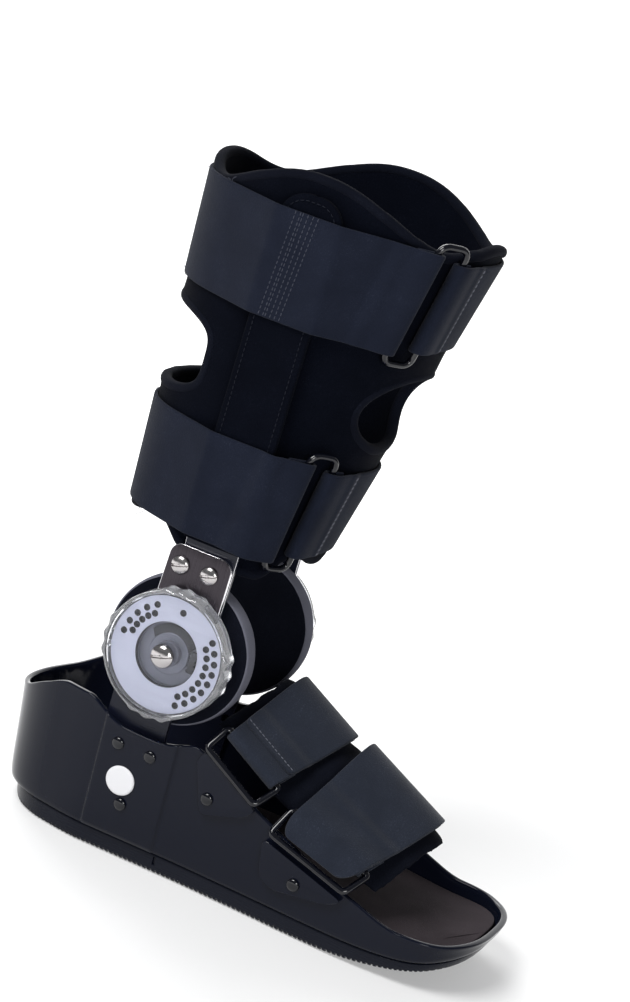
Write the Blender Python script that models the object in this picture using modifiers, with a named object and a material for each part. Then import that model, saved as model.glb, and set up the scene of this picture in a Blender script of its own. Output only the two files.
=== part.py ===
"""A walking boot with a hinged upper: a moulded rocker shell, two dial hinges and a strapped calf wrap.

Lengths are in metres, Z is up. The origin lies on the floor in the middle of the foot's length. The toes point
along -Y, and X runs across the boot, with the outer (lateral) side at -X. Places along the foot are given as
the distance forward of the heel, and turned into Y by along().
"""

import math

import bmesh
import bpy
import numpy as np
from mathutils import Matrix

# Overall sizes
FOOT_LENGTH = 0.254
AXIS_FORWARD = 0.0803
AXIS_HEIGHT = 0.1056
WRAP_HEIGHT = 0.334
GAP = 0.0003

# Hinge stack, from the ankle outwards
ANKLE_SPACE = 0.064
PAD_THICKNESS = 0.011
PAD_RADIUS = 0.0355
PAD_EDGE = 0.0010
ARM_THICKNESS = 0.0025
PLATE_THICKNESS = 0.0022
HOUSING_THICKNESS = 0.0036
HOUSING_RADIUS = 0.0280
RECESS_RADIUS = 0.0148
RECESS_DEPTH = 0.0024
PROTRACTOR_THICKNESS = 0.0015
COVER_WALL = 0.0014
COVER_AIR = 0.0030
COVER_BUMP = 0.0012
COVER_BUMPS = 12
COVER_GROUPS = 4
COVER_GROUP_EDGE = -0.2
COVER_POINTS = 48
SCREW_RADIUS = 0.0030
SCREW_HEAD_RADIUS = 0.0056
SCREW_HEAD_HEIGHT = 0.0029
HOLE_RADIUS = 0.0013

ARM_INNER = ANKLE_SPACE / 2 + PAD_THICKNESS + GAP
ARM_OUTER = ARM_INNER + ARM_THICKNESS
PLATE_INNER = ARM_OUTER + GAP
PLATE_OUTER = PLATE_INNER + PLATE_THICKNESS
HOUSING_INNER = PLATE_OUTER + GAP
HOUSING_OUTER = HOUSING_INNER + HOUSING_THICKNESS
PROTRACTOR_INNER = HOUSING_OUTER + GAP
PROTRACTOR_OUTER = PROTRACTOR_INNER + PROTRACTOR_THICKNESS
COVER_FRONT = PROTRACTOR_OUTER + COVER_AIR + COVER_WALL
COVER_RADIUS = HOUSING_RADIUS + GAP + COVER_WALL

# Arm, plate and upright
ARM_RADIUS = 0.0205
ARM_BACK = 0.0580
ARM_FRONT = 0.0885
ARM_BOTTOM = 0.0250
ARM_BEND = 0.0700
ARM_NECK = 0.0195
ARM_HEAD_ARC = (-0.15, math.pi + 0.9)
PLATE_BACK = 0.0655
PLATE_FRONT = 0.0967
PLATE_TOP = 0.1550
PLATE_CORNER = 0.0060
PLATE_FOOT_RADIUS = 0.0160
BAR_BACK = 0.0705
BAR_FRONT = 0.0968
BAR_LEAN = 0.030
BAR_CHAMFER = 0.0060
BAR_CLEAR = 0.0012
BAR_THICKNESS = 0.0023
PLATE_SCREW_FORWARD = 0.0797
PLATE_SCREW_HEIGHT = 0.1455
PLATE_SCREW_SPACING = 0.0146
PLATE_SCREW_RADIUS = 0.0044
PLATE_SCREW_DOME = 0.0022

# Sole, shell and insole
WALL = 0.0030
WALL_LEAN = 0.105
HEEL_SET = 0.0053
TOE_SET = 0.0012
HEEL_ROUND = 0.042
TOE_ROUND = 0.034
SOLE_THICKNESS = 0.0093
SOLE_INSET = 0.0022
SOLE_TAPER = 0.0030
SOLE_HEEL_SET = 0.0028
SOLE_HEEL_LENGTH = 0.0400
FLOOR_THICKNESS = 0.0044
INSOLE_THICKNESS = 0.0080
TOE_THICKNESS = 0.0090
ROCKER_START = 0.178
ROCKER_RADIUS = 0.180
HEEL_ROCKER_START = 0.024
HEEL_ROCKER_RADIUS = 0.040
RIM_HEIGHT = 0.0726
RIM_FLARE = 0.0006
PANEL_BACK = 0.0598
PANEL_FRONT = 0.0972
PANEL_PROUD = 0.0012
PANEL_EDGE = 0.0010
RIVET_RADIUS = 0.0030
RIVET_SHANK = 0.0015
RIVET_DOME = 0.0016
DISC_RADIUS = 0.0072
DISC_THICKNESS = 0.0008
DISC_FORWARD = 0.0743
DISC_HEIGHT = 0.0387
TAB_THICKNESS = 0.0018
TAB_CORNER = 0.0040

# Foot straps and pad
STRAP_THICKNESS = 0.0018
INSTEP_STRAP_WIDTH = 0.0375
TOE_STRAP_WIDTH = 0.0490
STRAP_SIDE_TAPER = 0.78
LOOP_WIRE = 0.0016
LOOP_WIDTH = 0.0135
LOOP_OVERHANG = 0.0006
LOOP_CORNER = 0.0026
INSTEP_HEIGHT = 0.1045
INSTEP_ROUND = 0.015
FOLD_LENGTH = 0.0120
FOOT_SETTLE = 0.5
FOOT_RETURN = 1.5
FOOT_HEM = (0.8, 0.4, 0.0)
CALF_SETTLE = 0.6
CALF_HEM = (0.62, 0.34, 0.0)
INSTEP_FREE_END = 0.0340
TOE_FREE_END = 0.0500
OVERHANG_START = 0.0015
OVERHANG_DROP = 0.43
PAD_DEPTH = 0.0060

# Calf wrap, its straps and rings
CALF_LENGTH = 0.1290
CALF_WIDTH = 0.1130
ANKLE_LENGTH = 0.0990
UPPER_CENTRE = 0.0855
LOWER_CENTRE = 0.0750
WRAP_THICKNESS = 0.0040
POCKET_THICKNESS = 0.0014
POCKET_BACK = 0.0690
POCKET_FRONT = 0.0990
POCKET_ROUND = ((0.012, 0.0), (0.004, 0.005), (0.0, 0.0105))
CALF_STRAP_WIDTH = 0.0500
LOWER_STRAP_RISE = 0.0050
POCKET_RISE = 0.0035
KEEPER_WIDTH = 0.0440
RING_WIRE = 0.0015
RING_CLEAR = 0.0006
RING_WIDTH = 0.0130
RING_OVERHANG = 0.0040
UPPER_RING_ANGLE = 33.0
LOWER_RING_ANGLE = 43.0
STRAP_END_ANGLE = 318.0

# Heights on the leg that follow the wrap's top and the steel plates
UPPER_STRAP_HEIGHT = 0.8757 * WRAP_HEIGHT
POCKET_TOP = 0.9760 * WRAP_HEIGHT
BAR_TOP = 0.9581 * WRAP_HEIGHT
LOWER_STRAP_HEIGHT = PLATE_TOP + LOWER_STRAP_RISE + CALF_STRAP_WIDTH / 2
POCKET_BOTTOM = PLATE_TOP + POCKET_RISE

PANEL_HALF = ARM_OUTER + GAP + WALL
SHELL_BOTTOM = SOLE_THICKNESS + GAP
BASE_HALF = PANEL_HALF - WALL_LEAN * (ARM_BEND - SHELL_BOTTOM)
HOLE_CLEARANCE = 0.0004
SIDE_REACH = PANEL_HALF + RIM_FLARE + GAP + 2 * LOOP_WIRE
BAR_REACH = 0.0425
RUN_STEP = 0.11
FOLD_PROBE = 0.6
SHELL_STATIONS = 30
SIDES = (("lateral", -1), ("medial", 1))

# Half width of the shell at its lower edge: share of the foot's length, share of the width at the hinge
PLAN = (
    (0.000, 0.930),
    (0.140, 0.930),
    (0.232, 1.000),
    (0.392, 1.000),
    (0.550, 1.035),
    (0.700, 1.090),
    (0.810, 1.115),
    (0.920, 1.110),
    (1.000, 1.060),
)

# Top edge of the shell: share of the foot's length, share of the highest rim
RIM = (
    (0.000, 0.750),
    (0.045, 0.790),
    (0.100, 0.915),
    (0.150, 1.000),
    (0.195, 1.000),
    (0.236, 0.930),
    (0.280, 0.885),
    (0.340, 0.880),
    (0.385, 0.915),
    (0.415, 0.950),
    (0.445, 0.915),
    (0.500, 0.810),
    (0.570, 0.700),
    (0.670, 0.560),
    (0.780, 0.425),
    (0.870, 0.345),
    (0.940, 0.345),
    (1.000, 0.360),
)

# Where each foot strap crosses the instep and where it meets its loops: shares of the foot's length forward and
# of the instep's height, slope in degrees
STRAP_PLACES = {
    "instep": {"top": (0.567, 0.881, 28.0), "side": (0.4965, 0.6100, 29.3)},
    "toe": {"top": (0.750, 0.694, 26.6), "side": (0.6790, 0.3850, 16.5)},
}

# Rear, middle and front of the instep pad, on the ridge and at the side: shares as above
PAD_RIDGE = ((0.479, 0.983), (0.634, 0.792), (0.861, 0.5510))
PAD_SIDE = ((0.413, 0.7230), (0.575, 0.4700), (0.791, 0.2780))
PAD_REACH = 0.80

# Strap tabs on the shell: corners as shares of the foot's length and of the rim's height
TAB_CORNERS = {
    "instep": ((0.4250, 0.890), (0.4390, 0.962), (0.5600, 0.722), (0.5380, 0.640), (0.4560, 0.540)),
    "toe": ((0.5850, 0.580), (0.7620, 0.400), (0.7300, 0.335), (0.6250, 0.275), (0.5950, 0.330)),
}
TAB_RIVETS = {"instep": (0.4640, 0.665), "toe": (0.6650, 0.375)}
# Panel rivets: share of the arm's width forward, share of the rim's height
PANEL_RIVETS = ((0.353, 0.768), (0.900, 0.764), (0.624, 0.379))

# Edges of the calf wrap round the leg: angle from the front in degrees, share of the wrap's height
WRAP_TOP = ((0, 0.964), (35, 0.946), (90, 1.000), (140, 0.950), (180, 0.972))
WRAP_BOTTOM = ((0, 0.4700), (28, 0.4830), (52, 0.4447), (92, 0.4507), (112, 0.4830), (150, 0.4709), (180, 0.4608))
FRONT_WINDOW = {"half_angle": 37.0, "middle": 0.7093, "half_height": 0.0548, "power": 2.0}
REAR_WINDOW = {"half_angle": 66.0, "middle": 0.7112, "half_height": 0.0569, "power": 4.0}

# Rows of holes in the protractor: radius, first and last angle in degrees from the toe side upwards, holes
HOLE_ROWS = (
    (0.0230, 118.0, 172.0, 5),
    (0.0193, 124.0, 166.0, 5),
    (0.0212, 84.0, 84.0, 1),
    (0.0236, -62.0, 34.0, 9),
    (0.0198, -56.0, 28.0, 8),
)

COLOURS = {
    "shell_plastic": ((0.016, 0.018, 0.030), 0.18, 0.0),
    "sole_rubber": ((0.012, 0.013, 0.020), 0.60, 0.0),
    "insole_foam": ((0.035, 0.027, 0.030), 0.90, 0.0),
    "strap_webbing": ((0.012, 0.015, 0.026), 0.95, 0.0),
    "wrap_fabric": ((0.004, 0.004, 0.008), 1.00, 0.0),
    "pad_foam": ((0.005, 0.005, 0.010), 0.95, 0.0),
    "loop_plastic": ((0.010, 0.010, 0.014), 0.25, 0.0),
    "plate_steel": ((0.180, 0.160, 0.165), 0.35, 1.0),
    "screw_chrome": ((0.780, 0.760, 0.740), 0.15, 1.0),
    "arm_paint": ((0.014, 0.016, 0.026), 0.40, 0.0),
    "dial_grey": ((0.180, 0.180, 0.210), 0.50, 0.0),
    "dial_silver": ((0.600, 0.610, 0.680), 0.35, 0.0),
    "clear_cover": ((0.850, 0.860, 0.900), 0.08, 0.0),
    "disc_white": ((0.850, 0.850, 0.850), 0.40, 0.0),
}


def clear_scene():
    """Remove whatever the open file holds."""
    for obj in list(bpy.data.objects):
        bpy.data.objects.remove(obj, do_unlink=True)


def new_collection(name):
    """A collection linked to the scene."""
    group = bpy.data.collections.new(name)
    bpy.context.scene.collection.children.link(group)
    return group


clear_scene()
PARTS = new_collection("walking_boot")
CUTTERS = new_collection("cutters")


def material(name):
    """The Principled material of that name, made the first time that it is asked for."""
    if name in bpy.data.materials:
        return bpy.data.materials[name]
    colour, roughness, metallic = COLOURS[name]
    made = bpy.data.materials.new(name)
    made.use_nodes = True
    shader = made.node_tree.nodes["Principled BSDF"]
    shader.inputs["Base Color"].default_value = (*colour, 1.0)
    shader.inputs["Roughness"].default_value = roughness
    shader.inputs["Metallic"].default_value = metallic
    if name == "clear_cover":
        shader.inputs["Transmission Weight"].default_value = 0.9
    return made


def along(forward):
    """Y of a place that lies this far forward of the heel."""
    return FOOT_LENGTH / 2 - forward


def add_object(name, data, finish, group=PARTS):
    """An object for a mesh or curve, with its material."""
    obj = bpy.data.objects.new(name, data)
    group.objects.link(obj)
    data.materials.append(material(finish))
    return obj


def shade(mesh, angle=35.0):
    """Round faces shaded smooth, with edges sharper than the angle kept crisp."""
    mesh.shade_smooth()
    mesh.set_sharp_from_angle(angle=math.radians(angle))


def mesh_object(name, points, faces, finish, group=PARTS):
    """An object made of points and faces."""
    mesh = bpy.data.meshes.new(name)
    mesh.from_pydata(np.asarray(points, float).tolist(), [], [list(map(int, face)) for face in faces])
    mesh.update()
    shade(mesh)
    return add_object(name, mesh, finish, group)


def grid_faces(rows, columns, closed=False):
    """Quads of a grid of points counted row by row; closed joins the last column to the first."""
    row, column = np.mgrid[0 : rows - 1, 0 : columns if closed else columns - 1]
    beside = (column + 1) % columns
    corners = (row * columns + column, row * columns + beside, (row + 1) * columns + beside, (row + 1) * columns + column)
    return np.stack([corner.ravel() for corner in corners], axis=1).tolist()


def tube_object(name, rings, finish):
    """A solid lofted through closed rings, each a row of points, capped at both ends and facing outwards."""
    rings = np.asarray(rings, float)
    count, size = rings.shape[:2]
    faces = grid_faces(count, size, closed=True)
    faces.append(list(range(size))[::-1])
    faces.append([(count - 1) * size + i for i in range(size)])
    obj = mesh_object(name, rings.reshape(-1, 3), faces, finish)
    face_outwards(obj.data)
    return obj


def face_outwards(mesh):
    """Turn every face of a closed mesh outwards."""
    work = bmesh.new()
    work.from_mesh(mesh)
    bmesh.ops.recalc_face_normals(work, faces=work.faces)
    work.to_mesh(mesh)
    work.free()
    shade(mesh)


def smooth_curve(rows, places):
    """Values at the places of a smooth curve through rows of (place, value) that never overshoots a row."""
    at, values = np.array(rows, float).T
    spans = np.diff(at)
    slopes = np.diff(values) / spans
    tangents = np.zeros_like(values)
    rising = slopes[:-1] * slopes[1:] > 0
    before, after = slopes[:-1][rising], slopes[1:][rising]
    tangents[1:-1][rising] = 2 * before * after / (before + after)
    places = np.clip(places, at[0], at[-1])
    left = np.clip(np.searchsorted(at, places, side="right") - 1, 0, len(spans) - 1)
    t, span = (places - at[left]) / spans[left], spans[left]
    start = (1 + 2 * t) * (1 - t) ** 2 * values[left] + t * (1 - t) ** 2 * span * tangents[left]
    return start + t**2 * (3 - 2 * t) * values[left + 1] + t**2 * (t - 1) * span * tangents[left + 1]


def ease(t):
    """A smooth step from 0 to 1."""
    t = np.clip(t, 0.0, 1.0)
    return t * t * (3 - 2 * t)


def turned(name, profile, side, finish, place, segments=24, tilt=0.0):
    """A turned piece on an axis across the boot: the profile has (radius, distance outwards), closed or ending
    on the axis, and runs from its outer end inwards; place is (X, Y, Z) of the axis' start."""
    mesh = bpy.data.meshes.new(name)
    closed = profile[0][0] > 0
    edges = [(i, i + 1) for i in range(len(profile) - 1)]
    if closed:
        edges.append((len(profile) - 1, 0))
    mesh.from_pydata([(radius, 0.0, outwards) for radius, outwards in profile], edges, [])
    obj = add_object(name, mesh, finish)
    screw = obj.modifiers.new("turn", "SCREW")
    screw.axis = "Z"
    screw.steps = screw.render_steps = segments
    screw.use_merge_vertices = True
    screw.merge_threshold = 0.00001
    screw.use_smooth_shade = False
    obj.rotation_euler = (0.0, side * (math.pi / 2 + tilt), 0.0)
    obj.location = place
    return obj


def ring_outline(centre, radius, segments, start=0.0, end=math.tau):
    """Points of an arc, or of a whole circle."""
    whole = abs(end - start) >= math.tau
    turns = np.linspace(start, end, segments, endpoint=not whole)
    return np.c_[centre[0] + radius * np.cos(turns), centre[1] + radius * np.sin(turns)]


def hull(points):
    """The convex outline of points, anticlockwise."""
    ordered = sorted(map(tuple, np.round(points, 7)))

    def half(sequence):
        kept = []
        for point in sequence:
            while len(kept) > 1 and np.cross(np.subtract(kept[-1], kept[-2]), np.subtract(point, kept[-2])) <= 0:
                kept.pop()
            kept.append(point)
        return kept[:-1]

    return np.array(half(ordered) + half(ordered[::-1]))


def plate_mesh(name, outlines, thickness):
    """A flat plate cut to outlines in Y and Z, the first its edge and the rest holes, centred on X = 0."""
    curve = bpy.data.curves.new(name, "CURVE")
    curve.dimensions = "2D"
    curve.fill_mode = "BOTH"
    curve.extrude = thickness / 2
    for outline in outlines:
        spline = curve.splines.new("POLY")
        spline.points.add(len(outline) - 1)
        flat = np.c_[outline, np.zeros(len(outline)), np.ones(len(outline))]
        spline.points.foreach_set("co", flat.ravel())
        spline.use_cyclic_u = True
    guide = bpy.data.objects.new(name + "_outline", curve)
    PARTS.objects.link(guide)
    mesh = bpy.data.meshes.new_from_object(guide.evaluated_get(bpy.context.evaluated_depsgraph_get()))
    bpy.data.objects.remove(guide)
    mesh.transform(Matrix(((0, 0, 1, 0), (1, 0, 0, 0), (0, 1, 0, 0), (0, 0, 0, 1))))
    work = bmesh.new()
    work.from_mesh(mesh)
    bmesh.ops.remove_doubles(work, verts=work.verts, dist=0.00001)
    bmesh.ops.recalc_face_normals(work, faces=work.faces)
    work.to_mesh(mesh)
    work.free()
    mesh.name = name
    return mesh


def plate_object(name, outlines, inner, thickness, side, finish, bend=None):
    """A plate whose inner face lies at X = inner on its side; bend gives the outward shift for (Y, Z)."""
    mesh = plate_mesh(name, outlines, thickness)
    points = np.empty(len(mesh.vertices) * 3)
    mesh.vertices.foreach_get("co", points)
    points = points.reshape(-1, 3)
    points[:, 0] += inner + thickness / 2
    if bend is not None:
        points[:, 0] += bend(points[:, 1], points[:, 2])
    if side < 0:
        points[:, 0] *= -1
        mesh.flip_normals()
    mesh.vertices.foreach_set("co", points.ravel())
    shade(mesh)
    return add_object(name, mesh, finish)


def shell_half_width(forward):
    """Half width of the shell at its lower edge, with the heel and toe rounded as superellipses."""
    start, end = HEEL_SET, FOOT_LENGTH - TOE_SET
    width = BASE_HALF * smooth_curve(PLAN, forward / FOOT_LENGTH)
    heel = np.clip((start + HEEL_ROUND - forward) / HEEL_ROUND, 0, 1)
    toe = np.clip((forward - end + TOE_ROUND) / TOE_ROUND, 0, 1)
    heel_power, toe_power = 2.1, 2.7
    return width * (1 - heel**heel_power) ** (1 / heel_power) * (1 - toe**toe_power) ** (1 / toe_power)


def shell_stations(count):
    """Distances forward of the heel, closer together at both ends, with the edges of the side panel."""
    turns = (1 - np.cos(np.linspace(0, math.pi, count))) / 2
    spread = HEEL_SET + (FOOT_LENGTH - TOE_SET - HEEL_SET) * turns
    half = PANEL_EDGE / 2
    edges = np.array([PANEL_BACK - half, PANEL_BACK + half, PANEL_FRONT - half, PANEL_FRONT + half])
    far = np.abs(spread[:, None] - edges).min(axis=1) > 3 * PANEL_EDGE
    return np.sort(np.r_[spread[far], edges])


def outline_frame(forward):
    """Half widths at the stations and the outward direction there, as (across, forward)."""
    width = shell_half_width(forward)
    across = np.gradient(forward)
    ahead = -np.gradient(width)
    across[[0, -1]], ahead[[0, -1]] = 0.0, (-1.0, 1.0)
    size = np.hypot(across, ahead)
    return width, across / size, ahead / size


def sole_bottom(forward):
    """Height of the tread's underside: flat, with a rocker at the toe and a small one at the heel."""
    toe = np.clip(forward - ROCKER_START, 0, None)
    heel = np.clip(HEEL_ROCKER_START - forward, 0, None)
    rise = ROCKER_RADIUS - np.sqrt(ROCKER_RADIUS**2 - toe**2)
    return rise + HEEL_ROCKER_RADIUS - np.sqrt(HEEL_ROCKER_RADIUS**2 - heel**2)


def layer_heights(forward):
    """Tops of the sole, of the shell's floor and of the insole, which thin together towards the toe."""
    full = SOLE_THICKNESS + FLOOR_THICKNESS + INSOLE_THICKNESS + 2 * GAP
    toe = ease((forward - ROCKER_START) / (FOOT_LENGTH - ROCKER_START))
    heel = np.clip(forward, HEEL_ROCKER_START, None)
    bottom = sole_bottom(heel)
    total = full + (TOE_THICKNESS - full) * toe
    sole = bottom + total * SOLE_THICKNESS / full
    floor = bottom + total * (SOLE_THICKNESS + FLOOR_THICKNESS + GAP) / full
    return sole, floor, bottom + total


def rim_height(forward):
    """Height of the shell's top edge."""
    return RIM_HEIGHT * smooth_curve(RIM, forward / FOOT_LENGTH)


def wall_outside(forward, height):
    """Distance from the middle of the boot to the outside of the shell's wall."""
    return shell_half_width(forward) + WALL_LEAN * (height - SHELL_BOTTOM)


def half_loft(name, rows, finish):
    """A solid from its half at +X: each row of points runs round a profile that starts and ends on X = 0."""
    points = np.stack(rows, axis=1)
    points[[0, -1], :, 0] = 0.0
    points[:, [0, -1], 0] = 0.0
    faces = grid_faces(*points.shape[:2])
    obj = mesh_object(name, points.reshape(-1, 3), faces, finish)
    mirror = obj.modifiers.new("both sides", "MIRROR")
    mirror.use_clip = True
    mirror.merge_threshold = 0.00001
    return obj


def profile_row(frame, forward, offset, height):
    """One row of a half loft: the plan outline moved outwards by offset, at height(forward)."""
    width, across, ahead = frame
    reach = forward + ahead * offset
    return np.c_[np.clip(width + across * offset, 0, None), along(reach), height(reach)]


def middle_row(frame, forward, offset, height):
    """The row on the middle plane that closes a floor: it ends under the ends of its neighbour."""
    reach = forward + frame[2] * offset
    reach[1:-1] = np.clip(forward[1:-1], reach[0], reach[-1])
    return np.c_[np.zeros_like(reach), along(reach), height(reach)]


def make_outsole():
    """The sole unit under the shell, set in from its edge, most at the heel, and narrower at the tread."""
    forward = shell_stations(24)
    frame = outline_frame(forward)
    top = -SOLE_INSET - SOLE_HEEL_SET * ease(1 - forward / SOLE_HEEL_LENGTH)
    tread = top - SOLE_TAPER
    sole_top = lambda at: layer_heights(at)[0]
    edge = lambda share: lambda at: sole_bottom(at) + share * (layer_heights(at)[0] - sole_bottom(at))
    rows = [
        middle_row(frame, forward, tread, sole_bottom),
        profile_row(frame, forward, tread, sole_bottom),
        profile_row(frame, forward, tread + 0.6 * SOLE_TAPER, edge(0.15)),
        profile_row(frame, forward, top, edge(0.9)),
        profile_row(frame, forward, top - 0.1 * SOLE_TAPER, sole_top),
        middle_row(frame, forward, top - 0.1 * SOLE_TAPER, sole_top),
    ]
    return half_loft("outsole", rows, "sole_rubber")


def make_shell():
    """The moulded shell: a floor with a leaning wall round it, a flared rim and a raised panel each side."""
    forward = shell_stations(SHELL_STATIONS)
    frame = outline_frame(forward)
    under = lambda at: layer_heights(at)[0] + GAP
    floor = lambda at: layer_heights(at)[1]
    rim, low = rim_height(forward), under(forward)
    tall, deep = rim - low, rim - floor(forward)
    raised = (forward > PANEL_BACK) & (forward < PANEL_FRONT)
    proud = np.where(raised, PANEL_PROUD, 0.0)
    lip = WALL_LEAN * tall
    corner = 0.25 * WALL

    def wall_row(offset, height):
        row = profile_row(frame, forward, offset, under)
        row[:, 2] = height
        return row

    rows = [
        middle_row(frame, forward, -2 * corner, under),
        profile_row(frame, forward, -2 * corner, under),
        wall_row(proud, low + np.minimum(2 * corner, 0.25 * tall)),
        wall_row(WALL_LEAN * 0.5 * tall + proud, low + 0.5 * tall),
        wall_row(lip + proud, rim - np.minimum(WALL, 0.3 * tall)),
        wall_row(lip + RIM_FLARE + proud, rim - corner),
        wall_row(lip + RIM_FLARE - corner + proud, rim),
        wall_row(lip + corner - WALL, rim),
        wall_row(lip - WALL, rim - np.minimum(WALL, 0.25 * deep)),
        wall_row(WALL_LEAN * 0.2 * tall - WALL, rim - 0.85 * deep),
        profile_row(frame, forward, -WALL - 2 * corner, floor),
        middle_row(frame, forward, -WALL - 2 * corner, floor),
    ]
    return half_loft("foot_shell", rows, "shell_plastic")


def make_insole():
    """The foam insole, which fills the shell's floor inside its wall."""
    forward = shell_stations(SHELL_STATIONS)
    frame = outline_frame(forward)
    edge = -WALL - 4 * GAP
    bevel = 0.6 * WALL
    under = lambda at: layer_heights(at)[1] + GAP
    top = lambda at: layer_heights(at)[2]
    part = lambda share: lambda at: under(at) + share * (top(at) - under(at))
    rows = [
        middle_row(frame, forward, edge - bevel, under),
        profile_row(frame, forward, edge - bevel, under),
        profile_row(frame, forward, edge, part(0.35)),
        profile_row(frame, forward, edge, part(0.85)),
        profile_row(frame, forward, edge - 0.3 * bevel, top),
        middle_row(frame, forward, edge - 0.3 * bevel, top),
    ]
    return half_loft("insole", rows, "insole_foam")


def make_rivet(name, side, forward, height, seat, depth, finish):
    """A domed rivet square to the leaning wall: its head sits on the wall, its shank goes through a hole."""
    tilt = math.atan(WALL_LEAN)
    dome = [
        (0.0, RIVET_DOME),
        (0.6 * RIVET_RADIUS, 0.8 * RIVET_DOME),
        (RIVET_RADIUS, 0.25 * RIVET_DOME),
        (RIVET_RADIUS, 0.0),
        (RIVET_SHANK, 0.0),
        (RIVET_SHANK, -depth),
        (0.0, -depth),
    ]
    return turned(name, dome, side, finish, (side * seat, along(forward), height), 8, tilt)


def cut_hole(target, name, place, tilt):
    """A hole through a piece for a rivet's or screw's shank, on an axis across the boot through place."""
    bpy.ops.mesh.primitive_cylinder_add(
        vertices=8,
        radius=RIVET_SHANK + HOLE_CLEARANCE,
        depth=6 * WALL,
        location=place,
        rotation=(0.0, math.copysign(math.pi / 2 + tilt, place[0]), 0.0),
    )
    cutter = bpy.context.object
    cutter.name = name + "_cutter"
    for group in list(cutter.users_collection):
        group.objects.unlink(cutter)
    CUTTERS.objects.link(cutter)
    cutter.display_type = "WIRE"
    cutter.hide_render = True
    cut = target.modifiers.new(name, "BOOLEAN")
    cut.operation = "DIFFERENCE"
    cut.object = cutter


def arm_lean(across, height):
    """Outward shift of the lower arm, which leans in with the shell's wall under its bend."""
    return -WALL_LEAN * np.clip(ARM_BEND - height, 0, None)


def panel_rivet_place(ahead, up):
    """Distance forward and height of a rivet of the side panel, which goes through the arm's strip."""
    return ARM_BACK + ahead * (ARM_FRONT - ARM_BACK), up * RIM_HEIGHT


def make_lower_arms(shell):
    """The two painted arms: a round head at the hinge and a strip riveted inside the shell's side panel."""
    centre = (along(AXIS_FORWARD), AXIS_HEIGHT)
    neck = AXIS_HEIGHT - ARM_NECK
    heights = np.linspace(ARM_BOTTOM, ARM_BEND, 4)
    outline = np.r_[
        [(along(ARM_BACK), neck + ARM_NECK / 3)],
        ring_outline(centre, ARM_RADIUS, 14, *ARM_HEAD_ARC),
        [(along(ARM_FRONT), neck)],
        np.c_[np.full(4, along(ARM_FRONT)), heights[::-1]],
        np.c_[np.full(4, along(ARM_BACK)), heights],
    ]
    holes = [ring_outline(centre, SCREW_RADIUS + GAP, 12)]
    for ahead, up in PANEL_RIVETS:
        forward, height = panel_rivet_place(ahead, up)
        holes.append(ring_outline((along(forward), height), RIVET_SHANK + 2 * HOLE_CLEARANCE, 8))
    for name, side in SIDES:
        plate_object("lower_arm_" + name, [outline] + holes, ARM_INNER, ARM_THICKNESS, side, "arm_paint", arm_lean)
        for number, (ahead, up) in enumerate(PANEL_RIVETS, 1):
            forward, height = panel_rivet_place(ahead, up)
            seat = wall_outside(np.array([forward]), height)[0] + PANEL_PROUD + GAP
            rivet = f"panel_rivet_{name}_{number}"
            make_rivet(rivet, side, forward, height, seat, PANEL_PROUD + WALL + ARM_THICKNESS + GAP, "shell_plastic")
            cut_hole(shell, rivet, (side * seat, along(forward), height), math.atan(WALL_LEAN))


def make_size_disc():
    """The blank white disc on the outer side panel."""
    tilt = math.atan(WALL_LEAN)
    seat = wall_outside(np.array([DISC_FORWARD]), DISC_HEIGHT)[0] + PANEL_PROUD + GAP
    profile = [(0.0, DISC_THICKNESS), (DISC_RADIUS, DISC_THICKNESS), (DISC_RADIUS, 0.0), (0.0, 0.0)]
    turned("size_disc", profile, -1, "disc_white", (-seat, along(DISC_FORWARD), DISC_HEIGHT), 24, tilt)


def make_tabs(shell):
    """The riveted plastic tabs that hold the strap loops on the shell's wall."""
    lift = RIM_FLARE + 2 * GAP
    for kind, corners in TAB_CORNERS.items():
        shares = np.array(corners)
        outline = np.c_[along(shares[:, 0] * FOOT_LENGTH), shares[:, 1] * RIM_HEIGHT]
        outline = rounded(outline, TAB_CORNER)
        forward, height = TAB_RIVETS[kind][0] * FOOT_LENGTH, TAB_RIVETS[kind][1] * RIM_HEIGHT
        hole = ring_outline((along(forward), height), RIVET_SHANK + HOLE_CLEARANCE, 8)
        follow = lambda across, up: wall_outside(FOOT_LENGTH / 2 - across, up) + lift
        for name, side in SIDES:
            plate_object(f"{kind}_tab_{name}", [outline, hole], 0.0, TAB_THICKNESS, side, "loop_plastic", follow)
            rivet = f"{kind}_tab_rivet_{name}"
            seat = wall_outside(np.array([forward]), height)[0] + lift + TAB_THICKNESS + GAP
            depth = TAB_THICKNESS + lift + WALL
            make_rivet(rivet, side, forward, height, seat, depth, "shell_plastic")
            cut_hole(shell, rivet, (side * seat, along(forward), height), math.atan(WALL_LEAN))


def rounded(outline, radius, steps=4):
    """The outline with each corner replaced by a quadratic curve that starts one radius away."""
    before, after = np.roll(outline, 1, axis=0), np.roll(outline, -1, axis=0)
    t = np.linspace(0, 1, steps)[:, None]
    turned_corners = []
    for start, corner, end in zip(before, outline, after):
        near = corner + (start - corner) * min(radius / np.linalg.norm(start - corner), 0.45)
        far = corner + (end - corner) * min(radius / np.linalg.norm(end - corner), 0.45)
        turned_corners.append((1 - t) ** 2 * near + 2 * t * (1 - t) * corner + t**2 * far)
    return np.concatenate(turned_corners)


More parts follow.
